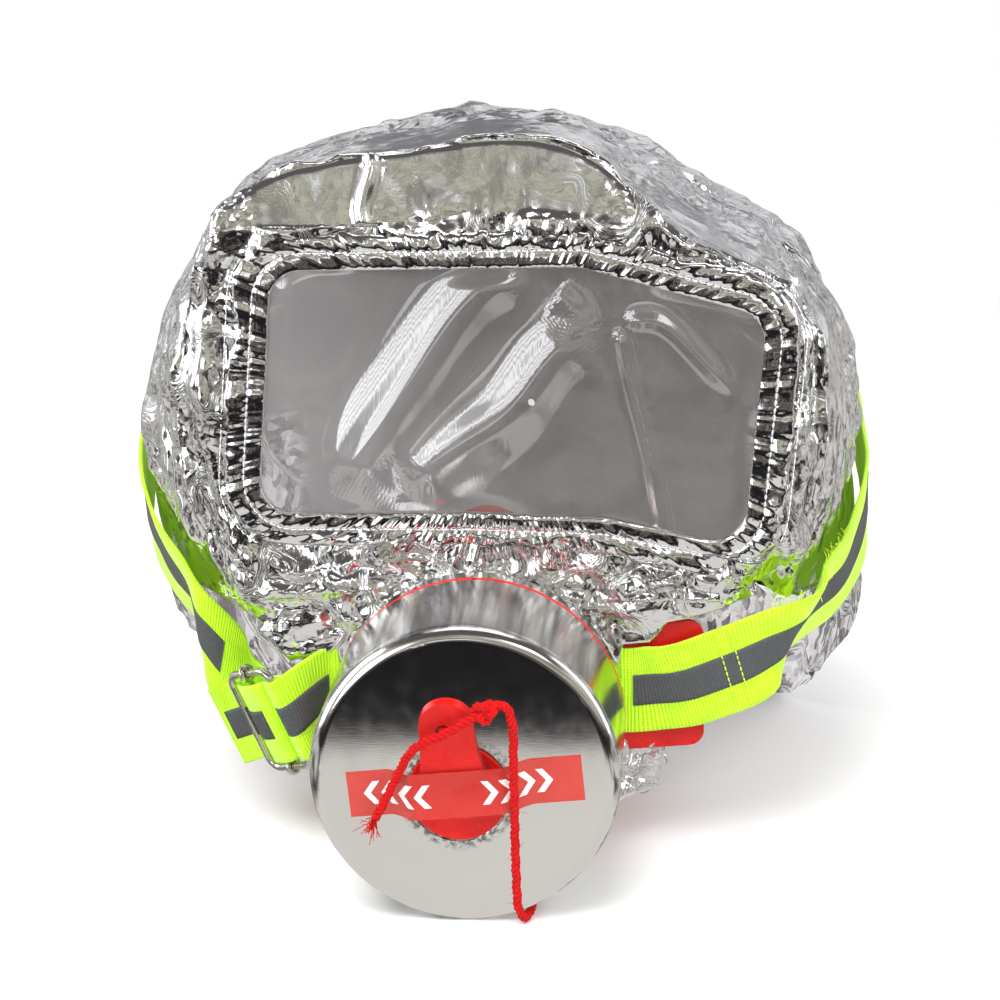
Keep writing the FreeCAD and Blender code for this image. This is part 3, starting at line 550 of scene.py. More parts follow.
def reflector_material():
    """Dark grey retroreflective tape with a fine woven face."""
    n = material("reflector")
    uv = n.coords("UV")
    ribs = n.math("SINE", n.times(n.part(uv, "X"), 2 * math.pi / RIB_PITCH))
    beads = n.cells(n.scaled(uv, (3, 3, 1)), 1.0, "Distance")
    color = n.mix(n.step(0.2, 0.7, beads), (0.06, 0.066, 0.07), (0.10, 0.106, 0.11))
    return n.done(n.principled(color=color, roughness=0.42, metallic=0.3,
                               normal=n.bump(n.plus(ribs, beads), 0.25, 0.0003)))


def cord_material():
    """Fuzzy red cord."""
    n = material("red_cord")
    fuzz = n.noise(n.coords(), 2600, 3)
    color = n.mix(n.step(0.3, 0.7, fuzz), (0.40, 0.002, 0.003), (0.58, 0.006, 0.007))
    return n.done(n.principled(color=color, roughness=0.75, specular=0.2, subsurface=0.05,
                               radius=(1, 0.1, 0.1), sss_scale=0.001, normal=n.bump(fuzz, 0.6, 0.0004)))


def thread_material(name, color):
    """Sewing thread."""
    n = material(name)
    p = n.coords()
    shade = n.mix(n.noise(p, 900, 2), color, tuple(c * 0.85 for c in color))
    return n.done(n.principled(color=shade, roughness=0.6, normal=n.bump(n.noise(p, 3000, 2), 0.3, 0.0002)))


def chevrons(n, uv):
    """1 on a row of chevrons that point at the middle of the label, 0 elsewhere; uv is in millimetres."""
    rise = n.size_of(n.part(uv, "Y"))
    phase = n.plus(n.size_of(n.part(uv, "X")), n.times(rise, 0.8))
    chevron = n.math("LESS_THAN", n.math("FRACT", n.math("DIVIDE", phase, 6.2)), 0.40)
    span = n.times(n.math("GREATER_THAN", phase, 12.3), n.math("LESS_THAN", phase, 36.0))
    return n.times(chevron, n.times(n.math("LESS_THAN", rise, 4.3), span))


def label_material():
    """Translucent red film with a row of plain white chevrons that point at the tab."""
    n = material("label_film")
    p = n.coords()
    white = chevrons(n, n.coords("UV"))
    red = n.mix(n.noise(p, 160, 4), (0.52, 0.020, 0.016), (0.62, 0.050, 0.036))
    color = n.mix(white, red, (0.92, 0.90, 0.89))
    film = n.principled(color=color, roughness=0.28, coat=0.5, coat_rough=0.12,
                        normal=n.bump(n.noise(p, 240, 3), 0.25, 0.0006))
    clear = n.make("ShaderNodeBsdfTransparent", {"Color": (0.86, 0.20, 0.16)})
    return n.done(n.shade(n.minus(0.36, n.times(white, 0.28)), film, clear))


def visor_material():
    """Clear film: mostly see-through, with a mirror-like skin and fine scratches; a diffuse haze that grows
    to the left is painted light, making the window lighter on that side.
    """
    n = material("visor_film")
    p = n.coords()
    scratch = n.streaks(p, (900, 40, 60), 4)
    normal = n.bump(n.plus(scratch, n.noise(p, 60, 2)), 0.05, 0.0006)
    facing = n.make("ShaderNodeLayerWeight", {"Blend": 0.35, "Normal": normal}, "Facing")
    gloss = n.make("ShaderNodeBsdfGlossy", {"Color": (0.98, 0.98, 1.0), "Roughness": 0.03, "Normal": normal})
    clear = n.make("ShaderNodeBsdfTransparent", {"Color": (0.80, 0.80, 0.81)})
    painted_light_haze = n.make("ShaderNodeBsdfDiffuse", {"Color": (0.80, 0.80, 0.81)})
    # Painted light: the haze grows to the left and lower left, so the window is lighter there.
    across = n.plus(n.part(p, "X"), n.times(n.minus(n.part(p, "Z"), 0.17), 0.5))
    body = n.shade(n.step(0.035, -0.080, across, 0.03, 0.16), clear, painted_light_haze)
    return n.done(n.shade(n.step(0.0, 1.0, facing, 0.20, 0.75), body, gloss))


def wire_material():
    """Nickel-plated wire."""
    n = material("nickel_wire")
    p = n.coords()
    return n.done(n.principled(color=(0.72, 0.70, 0.66), metallic=1.0,
                               roughness=n.step(0.3, 0.7, n.noise(p, 400, 3), 0.12, 0.3),
                               normal=n.bump(n.noise(p, 900, 3), 0.15, 0.0003)))


FOIL = foil_material()
BINDING_FOIL = binding_material()
WEBBING = webbing_material()
REFLECTOR = reflector_material()
CORD = cord_material()
WHITE_THREAD = thread_material("white_thread", (0.85, 0.85, 0.86))
YELLOW_THREAD = thread_material("yellow_thread", (0.62, 0.85, 0.05))
RED_RUBBER = rubber_material("red_rubber", (0.60, 0.006, 0.004), 0.30, 0.04)
SLOT_LOOKS = {
    "canister_steel": steel_material(),
    "seal_red": rubber_material("seal_red", (0.75, 0.005, 0.004), 0.45, 0.0),
    "screen_steel": grain_material("screen_steel", (0.55, 0.55, 0.55), 0.0012, 1.0, 0.35),
    "felt": grain_material("felt", (0.86, 0.86, 0.84), 0.0009, 0.0, 0.95),
    "filter_paper": grain_material("filter_paper", (0.88, 0.87, 0.83), 0.0006, 0.0, 0.9),
    "catalyst": grain_material("catalyst", (0.20, 0.14, 0.10), 0.0018, 0.0, 0.85),
    "carbon": grain_material("carbon", (0.035, 0.035, 0.035), 0.0016, 0.0, 0.8),
    "red_rubber": RED_RUBBER,
    "valve_plastic": grain_material("valve_plastic", (0.10, 0.10, 0.11), 0.0005, 0.0, 0.45),
    "valve_rubber": rubber_material("valve_rubber", (0.06, 0.06, 0.06), 0.5, 0.0),
    "mask_silicone": rubber_material("mask_silicone", (0.60, 0.008, 0.006), 0.32, 0.06),
    "nickel_wire": wire_material(),
}


def paint_nodes():
    """Gives every CAD node that stays shown the material of its slot."""
    for subpart in frame["record"]["subparts"]:
        look = SLOT_LOOKS.get(subpart["material_slot"])
        node = frame["nodes"][subpart["node"]]
        if look:
            node.data.materials.clear()
            node.data.materials.append(look)


# ---------------------------------------------------------------- the hood's base shape
def window_outline(margin):
    """Points of the window's outline grown by margin, counter-clockwise."""
    middles = np.array(WINDOW_CORNERS[::-1])
    r = WINDOW_CORNER_R + margin
    points = []
    for i, middle in enumerate(middles):
        before = unit(middle - middles[i - 1])
        after = unit(middles[(i + 1) % len(middles)] - middle)
        out = [np.array([run[1], -run[0]]) for run in (before, after)]
        if before[0] * after[1] > before[1] * after[0]:
            start, end = [math.atan2(o[1], o[0]) for o in out]
            arc = np.linspace(start, end if end > start else end + 2 * math.pi, 40)
            points += list(middle + r * np.stack([np.cos(arc), np.sin(arc)], 1))
        else:
            bisector = unit(out[0] + out[1])
            points.append(middle + bisector * r / (bisector @ out[0]))
    return np.array(points)


def window_radius(angle, margin):
    """Distance from the window's middle to its outline, grown by margin, in each direction."""
    outline = window_outline(margin) - WINDOW_MIDDLE
    closed = np.concatenate([outline, outline[:1]])
    share = np.linspace(0, 1, 30, endpoint=False)[:, None]
    dense = np.concatenate([a + (b - a) * share for a, b in zip(closed, closed[1:])])
    bearing = np.arctan2(dense[:, 1], dense[:, 0]) % (2 * math.pi)
    order = np.argsort(bearing)
    return np.interp(np.asarray(angle) % (2 * math.pi), bearing[order], np.hypot(*dense.T)[order],
                     period=2 * math.pi)


def window_loop(margin, count):
    """Evenly spaced points round the grown outline of the window, their distances along it and bearings."""
    angle = np.linspace(0, 2 * math.pi, 6000, endpoint=False)
    r = window_radius(angle, margin)
    p = np.stack([np.cos(angle) * r, np.sin(angle) * r], 1)
    closed = np.concatenate([p, p[:1]])
    along = np.concatenate([[0], np.cumsum(np.linalg.norm(np.diff(closed, axis=0), axis=1))])
    even = np.arange(count) * along[-1] / count
    a = np.interp(even, along, np.concatenate([angle, [2 * math.pi]]))
    r = window_radius(a, margin)
    return WINDOW_MIDDLE + np.stack([np.cos(a) * r, np.sin(a) * r], 1), even, a


class Hood:
    """The hood's skin as one grid: columns round it, rows from the window back to the middle of the rear."""

    COLUMNS = int(820 * DETAIL)
    FRONT_ROWS = int(64 * DETAIL)
    BODY_ROWS = int(215 * DETAIL)
    CAP_ROWS = int(46 * DETAIL)
    SEARCH_STEPS = 500
    MEAN_RADIUS = 115      # turns a change of the shares into a length
    CAP_LENGTH = 70.0
    EDGE_SOFT = 11.0       # reach of the rounding at the front's edge

    def __init__(self):
        self.u = np.arange(self.COLUMNS) * len(FRONT_OUTLINE) / self.COLUMNS
        outlines = [closed_curve(o, self.u) for o in (FRONT_OUTLINE, MIDDLE_OUTLINE, BACK_OUTLINE)]
        stations = []
        for y, *share in HOOD_STATIONS:
            middle = (1 - sum(share)) * np.array(BACK_CENTRE)
            flat = sum(s * o for s, o in zip(share, outlines)) + middle
            stations.append(np.stack([flat[:, 0], np.full(self.COLUMNS, float(y)), flat[:, 1]], 1))
        self.stations = np.array(stations)
        self.h = np.array([math.hypot(b[0] - a[0], self.MEAN_RADIUS * (sum(b[1:]) - sum(a[1:])))
                           for a, b in zip(HOOD_STATIONS, HOOD_STATIONS[1:])])
        self.knots = np.concatenate([[0], np.cumsum(self.h)])
        self.slopes = second_slopes(self.h, self.stations, False)
        self.starts = self.find_starts()
        self.joined = self.starts == 0
        self.points, self.quads, self.along = self.make_grid()

    def at(self, v, column):
        """Points of the skin at distances v behind its front edge, on the given columns."""
        v = np.clip(v, 0, self.knots[-1])
        i = np.clip(np.searchsorted(self.knots, v, "right") - 1, 0, len(self.h) - 1)
        f = ((v - self.knots[i]) / self.h[i])[..., None]
        h = self.h[i][..., None]
        g = 1 - f
        a, b = self.stations[i, column], self.stations[i + 1, column]
        sa, sb = self.slopes[i, column], self.slopes[i + 1, column]
        return g * a + f * b + h * h / 6 * ((g**3 - g) * sa + (f**3 - f) * sb)

    def find_starts(self):
        """Where each column comes out from under the arch over the strap, or from below the table."""
        v = np.linspace(0, self.knots[-1], self.SEARCH_STEPS)
        column = np.arange(self.COLUMNS)
        p = self.at(np.repeat(v[:, None], self.COLUMNS, 1), np.repeat(column[None], self.SEARCH_STEPS, 0))
        arch = np.array(ARCH, float)
        arch_z = np.where((p[..., 1] > arch[0, 0]) & (p[..., 1] < arch[-1, 0]),
                          np.interp(p[..., 1], arch[:, 0], arch[:, 1]), -1.0)
        depth = np.maximum(arch_z, 0.0) - p[..., 2]
        cut = depth > 0
        starts = np.zeros(self.COLUMNS)
        for c in column[cut.any(0)]:
            k = np.nonzero(cut[:, c])[0][-1]
            starts[c] = v[k]
            if k < self.SEARCH_STEPS - 1:
                above, below = depth[k, c], depth[k + 1, c]
                starts[c] += (v[1] - v[0]) * above / max(above - below, 1e-6)
        return starts

    def uncut_skin(self):
        """Coarse closed skin without the arch, for finding where the strap lies."""
        columns = np.arange(0, self.COLUMNS, 4)
        v = np.linspace(0, self.knots[-1], 90)
        p = self.at(np.repeat(v[:, None], len(columns), 1), np.repeat(columns[None], 90, 0))
        centre = np.array([BACK_CENTRE[0], HOOD_STATIONS[-1][0], BACK_CENTRE[1]])
        p = np.concatenate([p, (p[-1:] + centre) / 2, p[-1:] * 0.02 + centre * 0.98])
        quads = grid_faces(len(p), len(columns), closed_cols=True)[:, ::-1]
        return p.reshape(-1, 3).tolist(), quads.tolist()

    def front_edge(self):
        """Outer edge of the flat front: the outline above, the lower edge round the neck below."""
        edge = closed_curve(FRONT_OUTLINE, self.u)
        low = (self.u < LOW_FIRST) | (self.u > LOW_LAST)
        wrapped = np.where(self.u > LOW_LAST, self.u - len(FRONT_OUTLINE), self.u)
        number = np.linspace(LOW_LAST - len(FRONT_OUTLINE), LOW_FIRST, len(LOWER_EDGE))
        points = np.array(LOWER_EDGE, float)[::-1]
        for k in range(2):
            edge[low, k] = np.interp(wrapped[low], number, points[:, k])
        return edge

    def front_rows(self, edge, away):
        """The flat front from the binding out to its edge, and how far from that edge each point is."""
        near = window_radius(np.arctan2(away[:, 1], away[:, 0]), BINDING / 2)
        inner = WINDOW_MIDDLE + away * near[:, None]
        t = np.linspace(0, 1, self.FRONT_ROWS)[:, None, None]
        flat = inner[None] + (edge - inner)[None] * t
        distance = (1 - t[..., 0]) * np.linalg.norm(edge - inner, axis=1)[None]
        return np.stack([flat[..., 0], np.full(flat.shape[:2], FRONT_Y), flat[..., 1]], -1), distance

    def turned_over(self, distance, reach, inward):
        """Shift inwards of the points less than reach away from the front's edge."""
        share = np.where(self.joined, np.clip(1 - distance / reach, 0, 1) ** 2, 0)
        return share[..., None] * inward[None]

    def cap_rows(self, last):
        """Rings that close the rear from the last row to its middle, and how far back each is."""
        w = np.linspace(1, 0.02, self.CAP_ROWS + 1)[1:, None, None]
        centre = np.array([BACK_CENTRE[0], 0, BACK_CENTRE[1]])
        cap = centre + (last[None] - centre) * w
        cap[..., 1] = HOOD_STATIONS[-1][0] + 3 * (1 - w[..., 0] ** 2)
        return cap, self.knots[-1] + (1 - w[..., 0]) * np.full((1, self.COLUMNS), self.CAP_LENGTH)

    def grid_quads(self, rows):
        """The grid's faces. The front and the sides share a row where they are joined; below is a gap."""
        seam_row = self.FRONT_ROWS - 1
        quads = grid_faces(rows, self.COLUMNS, closed_cols=True)
        quads = quads[quads[:, 0] // self.COLUMNS != seam_row]
        index = np.arange(rows * self.COLUMNS)
        shared = np.arange(self.COLUMNS)[self.joined]
        index[(seam_row + 1) * self.COLUMNS + shared] = seam_row * self.COLUMNS + shared
        return index[quads][:, ::-1]

    def make_grid(self):
        """Points, faces, and how far behind the front's edge each point is (negative on the front)."""
        edge = self.front_edge()
        away = unit(edge - WINDOW_MIDDLE)
        front, distance = self.front_rows(edge, away)
        # The front turns over into the sides: softly below, in a crisp fold along the brow.
        reach = self.EDGE_SOFT - 7.5 * smoothstep(212, 232, edge[:, 1])
        inward = np.stack([-away[:, 0], np.zeros(self.COLUMNS), -away[:, 1]], 1)
        inward = (inward * 2.4 + [0, 4.2, 0]) * (reach / self.EDGE_SOFT)[:, None]
        front += self.turned_over(distance, reach, inward)
        share = np.linspace(0, 1, self.BODY_ROWS)[:, None]
        v = self.starts[None] + (self.knots[-1] - self.starts)[None] * share
        body = self.at(v, np.repeat(np.arange(self.COLUMNS)[None], self.BODY_ROWS, 0))
        body += self.turned_over(v, reach, inward)
        cap, behind = self.cap_rows(body[-1])
        points = np.concatenate([front, body, cap])
        # The brow leans back a little above the window.
        lean = np.maximum(points[..., 2] - 237, 0) * 0.30 * np.clip((-38 - points[..., 1]) / 40, 0, 1)
        points[..., 1] += lean
        along = np.concatenate([-distance, v, behind])
        return points.reshape(-1, 3), self.grid_quads(len(points)), along.ravel()


def calm_places(x, z, along, from_window):
    """How calm the foil lies: on the brow, the crown behind it, the right shoulder and the right flank."""
    front = along < 0
    brow = smoothstep(17, 22, from_window) * (z > 238) * between(-86, -72, 46, 62, x) * front
    crown = between(1, 5, 44, 60, along) * smoothstep(240, 252, z) * smoothstep(60, 44, x)
    shoulder = between(1, 5, 38, 52, along) * bump_at(x, 84, 26) * smoothstep(205, 222, z)
    flank = bump_at(z, 165, 38) * smoothstep(118, 127, x) * between(8, 12, 34, 46, along)
    return brow, np.clip(np.maximum.reduce([brow * 0.90, crown * 0.82, shoulder * 0.86, flank * 0.90]), 0, 1)


def window_gathers(bearing, from_window):
    """Gathers that run out from the window's stitching."""
    around = np.stack([np.cos(bearing) * 95, np.sin(bearing) * 60, from_window * 0.12], 1)
    return facets(around, 3.4, 33) * 0.9 * bump_at(from_window, 11, 10)


def raised_seams(x, y, z, along, brow):
    """The front's edge, the rear seam, and one upright gather in the brow."""
    sides = smoothstep(240, 225, z) * (z > 100)
    edge = 1.5 * bump_at(along, 5.5, 1.7) * sides + 0.8 * bump_at(along, 1, 1.2) * (z > 240)
    edge += 1.3 * bump_at(y, REAR_SEAM_Y, 1.8)
    edge += 2.4 * bump_at(x, -37 + 2 * np.sin(z / 5), 2.2) * brow
    return edge - 1.6 * bump_at(along, 11, 4.5) * sides


def distances(points, targets):
    """How far each point is from the nearest target."""
    tree = KDTree(len(targets))
    for k, target in enumerate(targets):
        tree.insert(target, k)
    tree.balance()
    return np.array([tree.find(point)[2] for point in points])


def crumple(hood, strap_middles):
    """Moves the hood's points along their normals, and tells how rough the foil is at each."""
    p = hood.points
    x, y, z = p.T
    along = hood.along
    bearing = np.arctan2(z - WINDOW_MIDDLE[1], x - WINDOW_MIDDLE[0])
    reach = np.hypot(x - WINDOW_MIDDLE[0], z - WINDOW_MIDDLE[1])
    from_window = reach - window_radius(bearing, 0.0)
    front = along < 0
    brow, calm = calm_places(x, z, along, from_window)
    rough = 1 - 0.93 * calm
    # Three sizes of crumples: 32, 13 and 6 mm.
    shift = facets(p, 32, 3) * 3.2 * (1 - 0.80 * calm)
    shift += facets(p, 13, 5, (1, 1, 1.5)) * 1.9 * rough
    shift += facets(p, 6.0, 8, (1, 1, 1.8)) * 0.55 * rough
    # Upright pleats down both sides of the front and round its corners.
    sides = np.maximum(smoothstep(98, 116, x), smoothstep(-92, -104, x)) * smoothstep(60, 10, along)
    shift += facets(p, 7, 21, (1, 1, 9)) * 1.6 * sides * rough
    shift += window_gathers(bearing, from_window) * front
    # Tight folds between the window and the canister.
    throat = smoothstep(128, 108, z) * front
    shift += facets(p, 7.5, 41, (2.6, 1, 1)) * 2.6 * throat + facets(p, 18, 43, (1.6, 1, 1)) * 3.2 * throat
    shift += raised_seams(x, y, z, along, brow)
    # The rear hem is gathered by its elastic.
    hem = smoothstep(HEM_H + 5, 2, z) * (y > 60)
    shift += facets(np.stack([x, y, z * 0.15], 1), 8, 51) * 2.0 * hem
    # The binding holds the foil flat.
    off_binding = np.where(front, from_window, 99)
    shift *= smoothstep(BINDING / 2 - 0.5, BINDING + 2, off_binding)
    # Under the strap the foil is pressed flat.
    pressed = smoothstep(STRAP_W / 2 + 12, STRAP_W / 2 + 2, distances(p, strap_middles))
    shift = shift * (1 - pressed) + pressed * np.clip(shift * 0.4 - 1.4, -2.8, -0.2)
    # In front of the mask's lugs it has room only to rise.
    shift = np.where(front & (z < 98) & (np.abs(x) < 90), 0.2 + np.abs(shift) * 0.5, shift)
    moved = p + vertex_normals(p, hood.quads) * shift[:, None]
    sideways = np.stack([waves(p, 17, 61 + k) for k in range(3)], 1) * (0.5 * rough * (1 - pressed))[:, None]
    moved += sideways * smoothstep(BINDING / 2, BINDING + 2, off_binding)[:, None]
    moved[:, 2] = np.maximum(moved[:, 2], ABOVE_TABLE)
    return moved, np.clip(rough, 0.05, 1)


def hood_panels(hood, points, roughness):
    """One object per panel, cut from the one crumpled grid, so that neighbours share their seams."""
    centre = hood.points[hood.quads].mean(1)
    x, y, z = centre.T
    top = (x > SEAM_LEFT) & (x < SEAM_RIGHT) & (z > CROWN_Z)
    behind = y > REAR_SEAM_Y
    neck = (np.hypot(x, z - AXIS_Z) < 22.0) & (y < -60)
    front = (y < FRONT_SEAM_Y) & ~neck
    groups = {
        "hood_front": (front, "hood_front_panel"),
        "hood_crown": (~front & ~neck & ~behind & top, "hood_crown_panel"),
        "hood_left": (~front & ~neck & ~behind & ~top & (x < 0), "hood_left_panel"),
        "hood_right": (~front & ~neck & ~behind & ~top & (x >= 0), "hood_right_panel"),
        "hood_rear": (behind & (z > HEM_H), "hood_rear_panel"),
        "hood_neck_hem": (behind & (z <= HEM_H), "neck_hem"),
    }
    for name, (mask, node) in groups.items():
        quads = hood.quads[mask]
        used, inverse = np.unique(quads, return_inverse=True)
        build_mesh(name, points[used], inverse.reshape(quads.shape), FOIL, slot="foil", replaces=[node],
                   attributes={"crumple": roughness[used]})


def front_wings():
    """Gathered ears of the front panel that show beside the canister, below the strap."""
    rows, columns = int(90 * DETAIL), int(80 * DETAIL)
    inner = 40
    for name, sign, outer in (("hood_front_ear_right", 1, 72), ("hood_front_ear_left", -1, 58)):
        t, s = np.meshgrid(np.linspace(0, 1, rows), np.linspace(0, 1, columns), indexing="ij")
        ragged = waves(np.stack([t * 30, 0 * t], -1), 14, 75) * 2.0
        x = sign * (inner + (outer - inner - 8 * (1 - t) + ragged) * s)
        z = 20.0 + t * 24 - 3 * s * (1 - t)
        y = -79 + 9 * s**2.5 + 3.0 * np.sin(s * 9 + t * 3)
        p = np.stack([x, y, z], -1).reshape(-1, 3)
        p[:, 1] -= facets(p, 9, 71) * 2.4 + facets(p, 4.5, 72) * 1.1
        q = grid_faces(rows, columns)
        build_mesh(name, p, q if sign > 0 else q[:, ::-1], FOIL, "foil",
                   attributes={"crumple": np.ones(len(p))})


# Section of the binding: distance out from the opening, and offset from the front's plane.
BINDING_PROFILE = [(0.0, 0.9), (0.2, -0.6), (0.5, -0.95), (2.0, -1.05), (4.0, -1.08), (5.4, -0.98),
                   (6.1, -0.75), (6.5, -0.6), (6.9, -0.75), (7.8, -1.1), (9.0, -1.3), (10.2, -1.2),
                   (11.4, -1.2), (12.4, -0.8), (13.2, -0.1), (13.6, 0.9)]
INNER_STITCHES, OUTER_STITCHES = 6.5, 15.5
STITCH_PITCH = 2.7


def binding_ripple(around, margin):
    """Fine gathers across the band, and coarser crumples on its outer half."""
    ripple = facets(around + [0, 0, margin * 0.05], 2.1, 81) * 0.36
    ripple += facets(around + [0, 0, margin * 0.08], 8, 82) * 0.45
    crumples = facets(around + [0, 0, margin], 4.5, 85) * 0.9 + facets(around + [0, 0, margin], 10, 86) * 0.7
    return (ripple + crumples * smoothstep(6.8, 9.5, margin)) * smoothstep(0.0, 0.6, margin)


def visor_binding():
    """A folded band of foil round the window."""
    count = int(1500 * DETAIL)
    rings = []
    for margin, out in BINDING_PROFILE:
        loop, _, angle = window_loop(margin, count)
        around = np.stack([np.cos(angle) * 95, np.sin(angle) * 62, np.zeros(count)], 1)
        wander = facets(around, 9, 83) * 1.4 * smoothstep(8, 13, margin)
        flat = WINDOW_MIDDLE + (loop - WINDOW_MIDDLE) * (1 + wander[:, None] * 0.016)
        depth = FRONT_Y + out + binding_ripple(around, margin)
        rings.append(np.stack([flat[:, 0], depth, flat[:, 1]], 1))
    quads = grid_faces(len(rings), count, closed_cols=True)[:, ::-1]
    build_mesh("visor_binding_band", np.array(rings).reshape(-1, 3), quads, BINDING_FOIL, "foil",
               replaces=["visor_binding"])


def window_stitches():
    """Stitches through the binding all round, and a second row beside it down both sides."""
    spots = 8000
    stitches = Soup()
    for margin, lift, least_slant in ((INNER_STITCHES, -1.25, 0.0), (OUTER_STITCHES, -1.9, 0.87)):
        loop, along, angle = window_loop(margin, spots)
        number = int(along[-1] / STITCH_PITCH)
        for k in range(number):
            i, j = int(k / number * spots), int((k + 0.80) / number * spots)
            if abs(math.cos(angle[i])) < least_slant:
                continue
            a, b = loop[i], loop[j]
            middle = ((a[0] + b[0]) / 2, FRONT_Y + lift, (a[1] + b[1]) / 2)
            ends = [(spot[0], FRONT_Y + lift * 0.5, spot[1]) for spot in (a, b)]
            stitches.tube([ends[0], middle, ends[1]], 0.20, 5)
    stitches.build("visor_stitching", WHITE_THREAD, "foil")


# Folds of the film: line (x, z), height, width, how fast its two ends fade, and how sharp it is.
FILM_FOLDS = [
    ([(26, 224), (8, 217), (-6, 204), (-16, 190), (-28, 172), (-38, 156), (-46, 134)],
     5.6, 10.5, (0.15, 0.15), 2.0),
    ([(44, 200), (30, 190), (16, 172), (0, 160), (-14, 150), (-26, 138)], 5.2, 10.5, (0.15, 0.15), 2.0),
    ([(30, 213), (38, 206), (42, 198)], 2.2, 5.5, (0.15, 0.15), 2.0),
    ([(53, 201), (56, 184), (63, 155), (69, 122)], 2.4, 2.0, (0.08, 0.02), 1.5),
    ([(53, 201), (66, 203), (80, 192), (97, 173)], 2.4, 3.2, (0.15, 0.3), 1.5),
]


def film_fold(x, z, line, height, width, ends, sharp):
    """Ridge that stands out of the film along a line."""
    path, _ = smooth_path([(px, pz, 0) for px, pz in line], 1.0)
    gap = np.full(x.shape, 1e9)
    where = np.zeros(x.shape)
    for k, point in enumerate(path):
        d = np.hypot(x - point[0], z - point[1])
        where = np.where(d < gap, k / (len(path) - 1), where)
        gap = np.minimum(gap, d)
    return -height * np.exp(-(gap / width) ** sharp) * between(0, ends[0], 1 - ends[1], 1, where)


def visor_sheet():
    """The clear film, with its soft waves and the few sharp creases that catch the light."""
    columns, rows = int(460 * DETAIL), int(250 * DETAIL)
    margin = BINDING / 2 - 1
    outline = window_outline(margin)
    low, high = outline.min(0), outline.max(0)
    x, z = np.meshgrid(np.linspace(low[0], high[0], columns), np.linspace(low[1], high[1], rows))
    away = np.stack([x, z], -1) - WINDOW_MIDDLE
    reach = np.linalg.norm(away, axis=-1)
    limit = window_radius(np.arctan2(away[..., 1], away[..., 0]), margin)
    flat = WINDOW_MIDDLE + away * np.minimum(1, limit / np.maximum(reach, 1e-6))[..., None]
    x, z = flat[..., 0], flat[..., 1]
    depth = 0.9 * np.sin((x * 0.75 + z * 0.65) / 21 + 0.6) + 0.5 * np.sin((x * 0.5 - z * 0.9) / 15 + 2.0)
    for fold in FILM_FOLDS:
        depth += film_fold(x, z, *fold)
    depth *= smoothstep(-1, 10, limit - margin - reach + 2)
    p = np.stack([x, FRONT_Y + 0.75 + depth, z], -1).reshape(-1, 3)
    build_mesh("visor_film_sheet", p, grid_faces(rows, columns), visor_material(), "visor_film",
               replaces=["visor"])


# ---------------------------------------------------------------- straps
HEAD_AXIS = (8.0, 30.0)
# Heights of the head strap's middle line round the hood: bearing in degrees, height.
STRAP_HEIGHTS = [(-38, 92), (-32, 97), (-22, 110), (-10, 124), (6, 138), (30, 152), (60, 161), (90, 165),
                 (120, 165), (150, 160), (170, 149), (182, 138), (192, 125), (202, 110), (211, 98),
                 (216, 92)]
BEARINGS = 44
STRAP_GAP = 2.6
SLOT_X, SLOT_Z, SLOT_BACK, SLOT_FRONT = 51.5, 62.0, -72.6, -77.2
# The buckle's middle, the directions of its bar and its sides, and the way its face looks.
BUCKLE = np.array([-80.0, -79.0, 50.0])
BAR_DIR = unit(np.array([0.40, 0.0, -0.9165]))
SIDE_DIR = unit(np.array([-0.7013, 0.6430, -0.3061]))
FACE_DIR = unit(np.array([-0.5893, -0.7652, -0.2572]))
# Ways of the head strap and the tab strap through the buckle, as (along its sides, out of its face).
WEAVE = [(8, -13), (2, -9), (-4, -5.2), (-7.2, -2.6), (-8, 0), (-7.2, 2.4), (-4, 3.6), (2, 3.4), (7, 1.2),
         (10.5, -2.0), (13, -3.2), (18, -2.4), (27, 1.6)]
TAB_AROUND = [(-16.8, 2.3), (-12.5, 2.6), (-10.7, 1.8), (-9.9, 0), (-10.7, -1.8), (-12.5, -2.6), (-17, -1.7)]


def at_buckle(s, n):
    """Point in the buckle's own plane: s along its sides, n out of its face."""
    return BUCKLE + SIDE_DIR * s + FACE_DIR * n


def slot_stations(sign):
    """Strap stations through a lug's slot, from the loose end behind it round to the front."""
    middle = (SLOT_BACK + SLOT_FRONT) / 2
    turns = [(14.0, SLOT_BACK), (3.6, SLOT_BACK), (1.2, SLOT_BACK - 0.2), (0.0, SLOT_BACK - 1.4),
             (0.0, middle), (0.0, SLOT_FRONT + 1.4), (1.2, SLOT_FRONT + 0.2), (3.6, SLOT_FRONT),
             (6.0, SLOT_FRONT - 0.2)]
    return [((sign * (SLOT_X + x), y, SLOT_Z), (0, 0, 1)) for x, y in turns]


def hood_stations(hood):
    """Strap stations round the hood, found by level rays from the head's axis."""
    tree = BVHTree.FromPolygons(*hood.uncut_skin())
    bearings = np.linspace(STRAP_HEIGHTS[0][0], STRAP_HEIGHTS[-1][0], BEARINGS + 1)
    heights = np.interp(bearings, *np.array(STRAP_HEIGHTS, float).T)
    stations = []
    off = STRAP_GAP + STRAP_T / 2
    for bearing, height in zip(np.radians(bearings), heights):
        ahead = Vector((math.cos(bearing), math.sin(bearing), 0))
        hits = []
        for dz in (-STRAP_W / 2, 0, STRAP_W / 2):
            start = Vector((*HEAD_AXIS, height + dz))
            point, normal, _, _ = tree.ray_cast(start, ahead)
            outwards = 1 if normal.dot(ahead) > 0 else -1
            hits.append(np.array(point) + unit(np.array(normal)) * off * outwards)
        stations.append((hits[1], unit(hits[2] - hits[0])))
    return stations


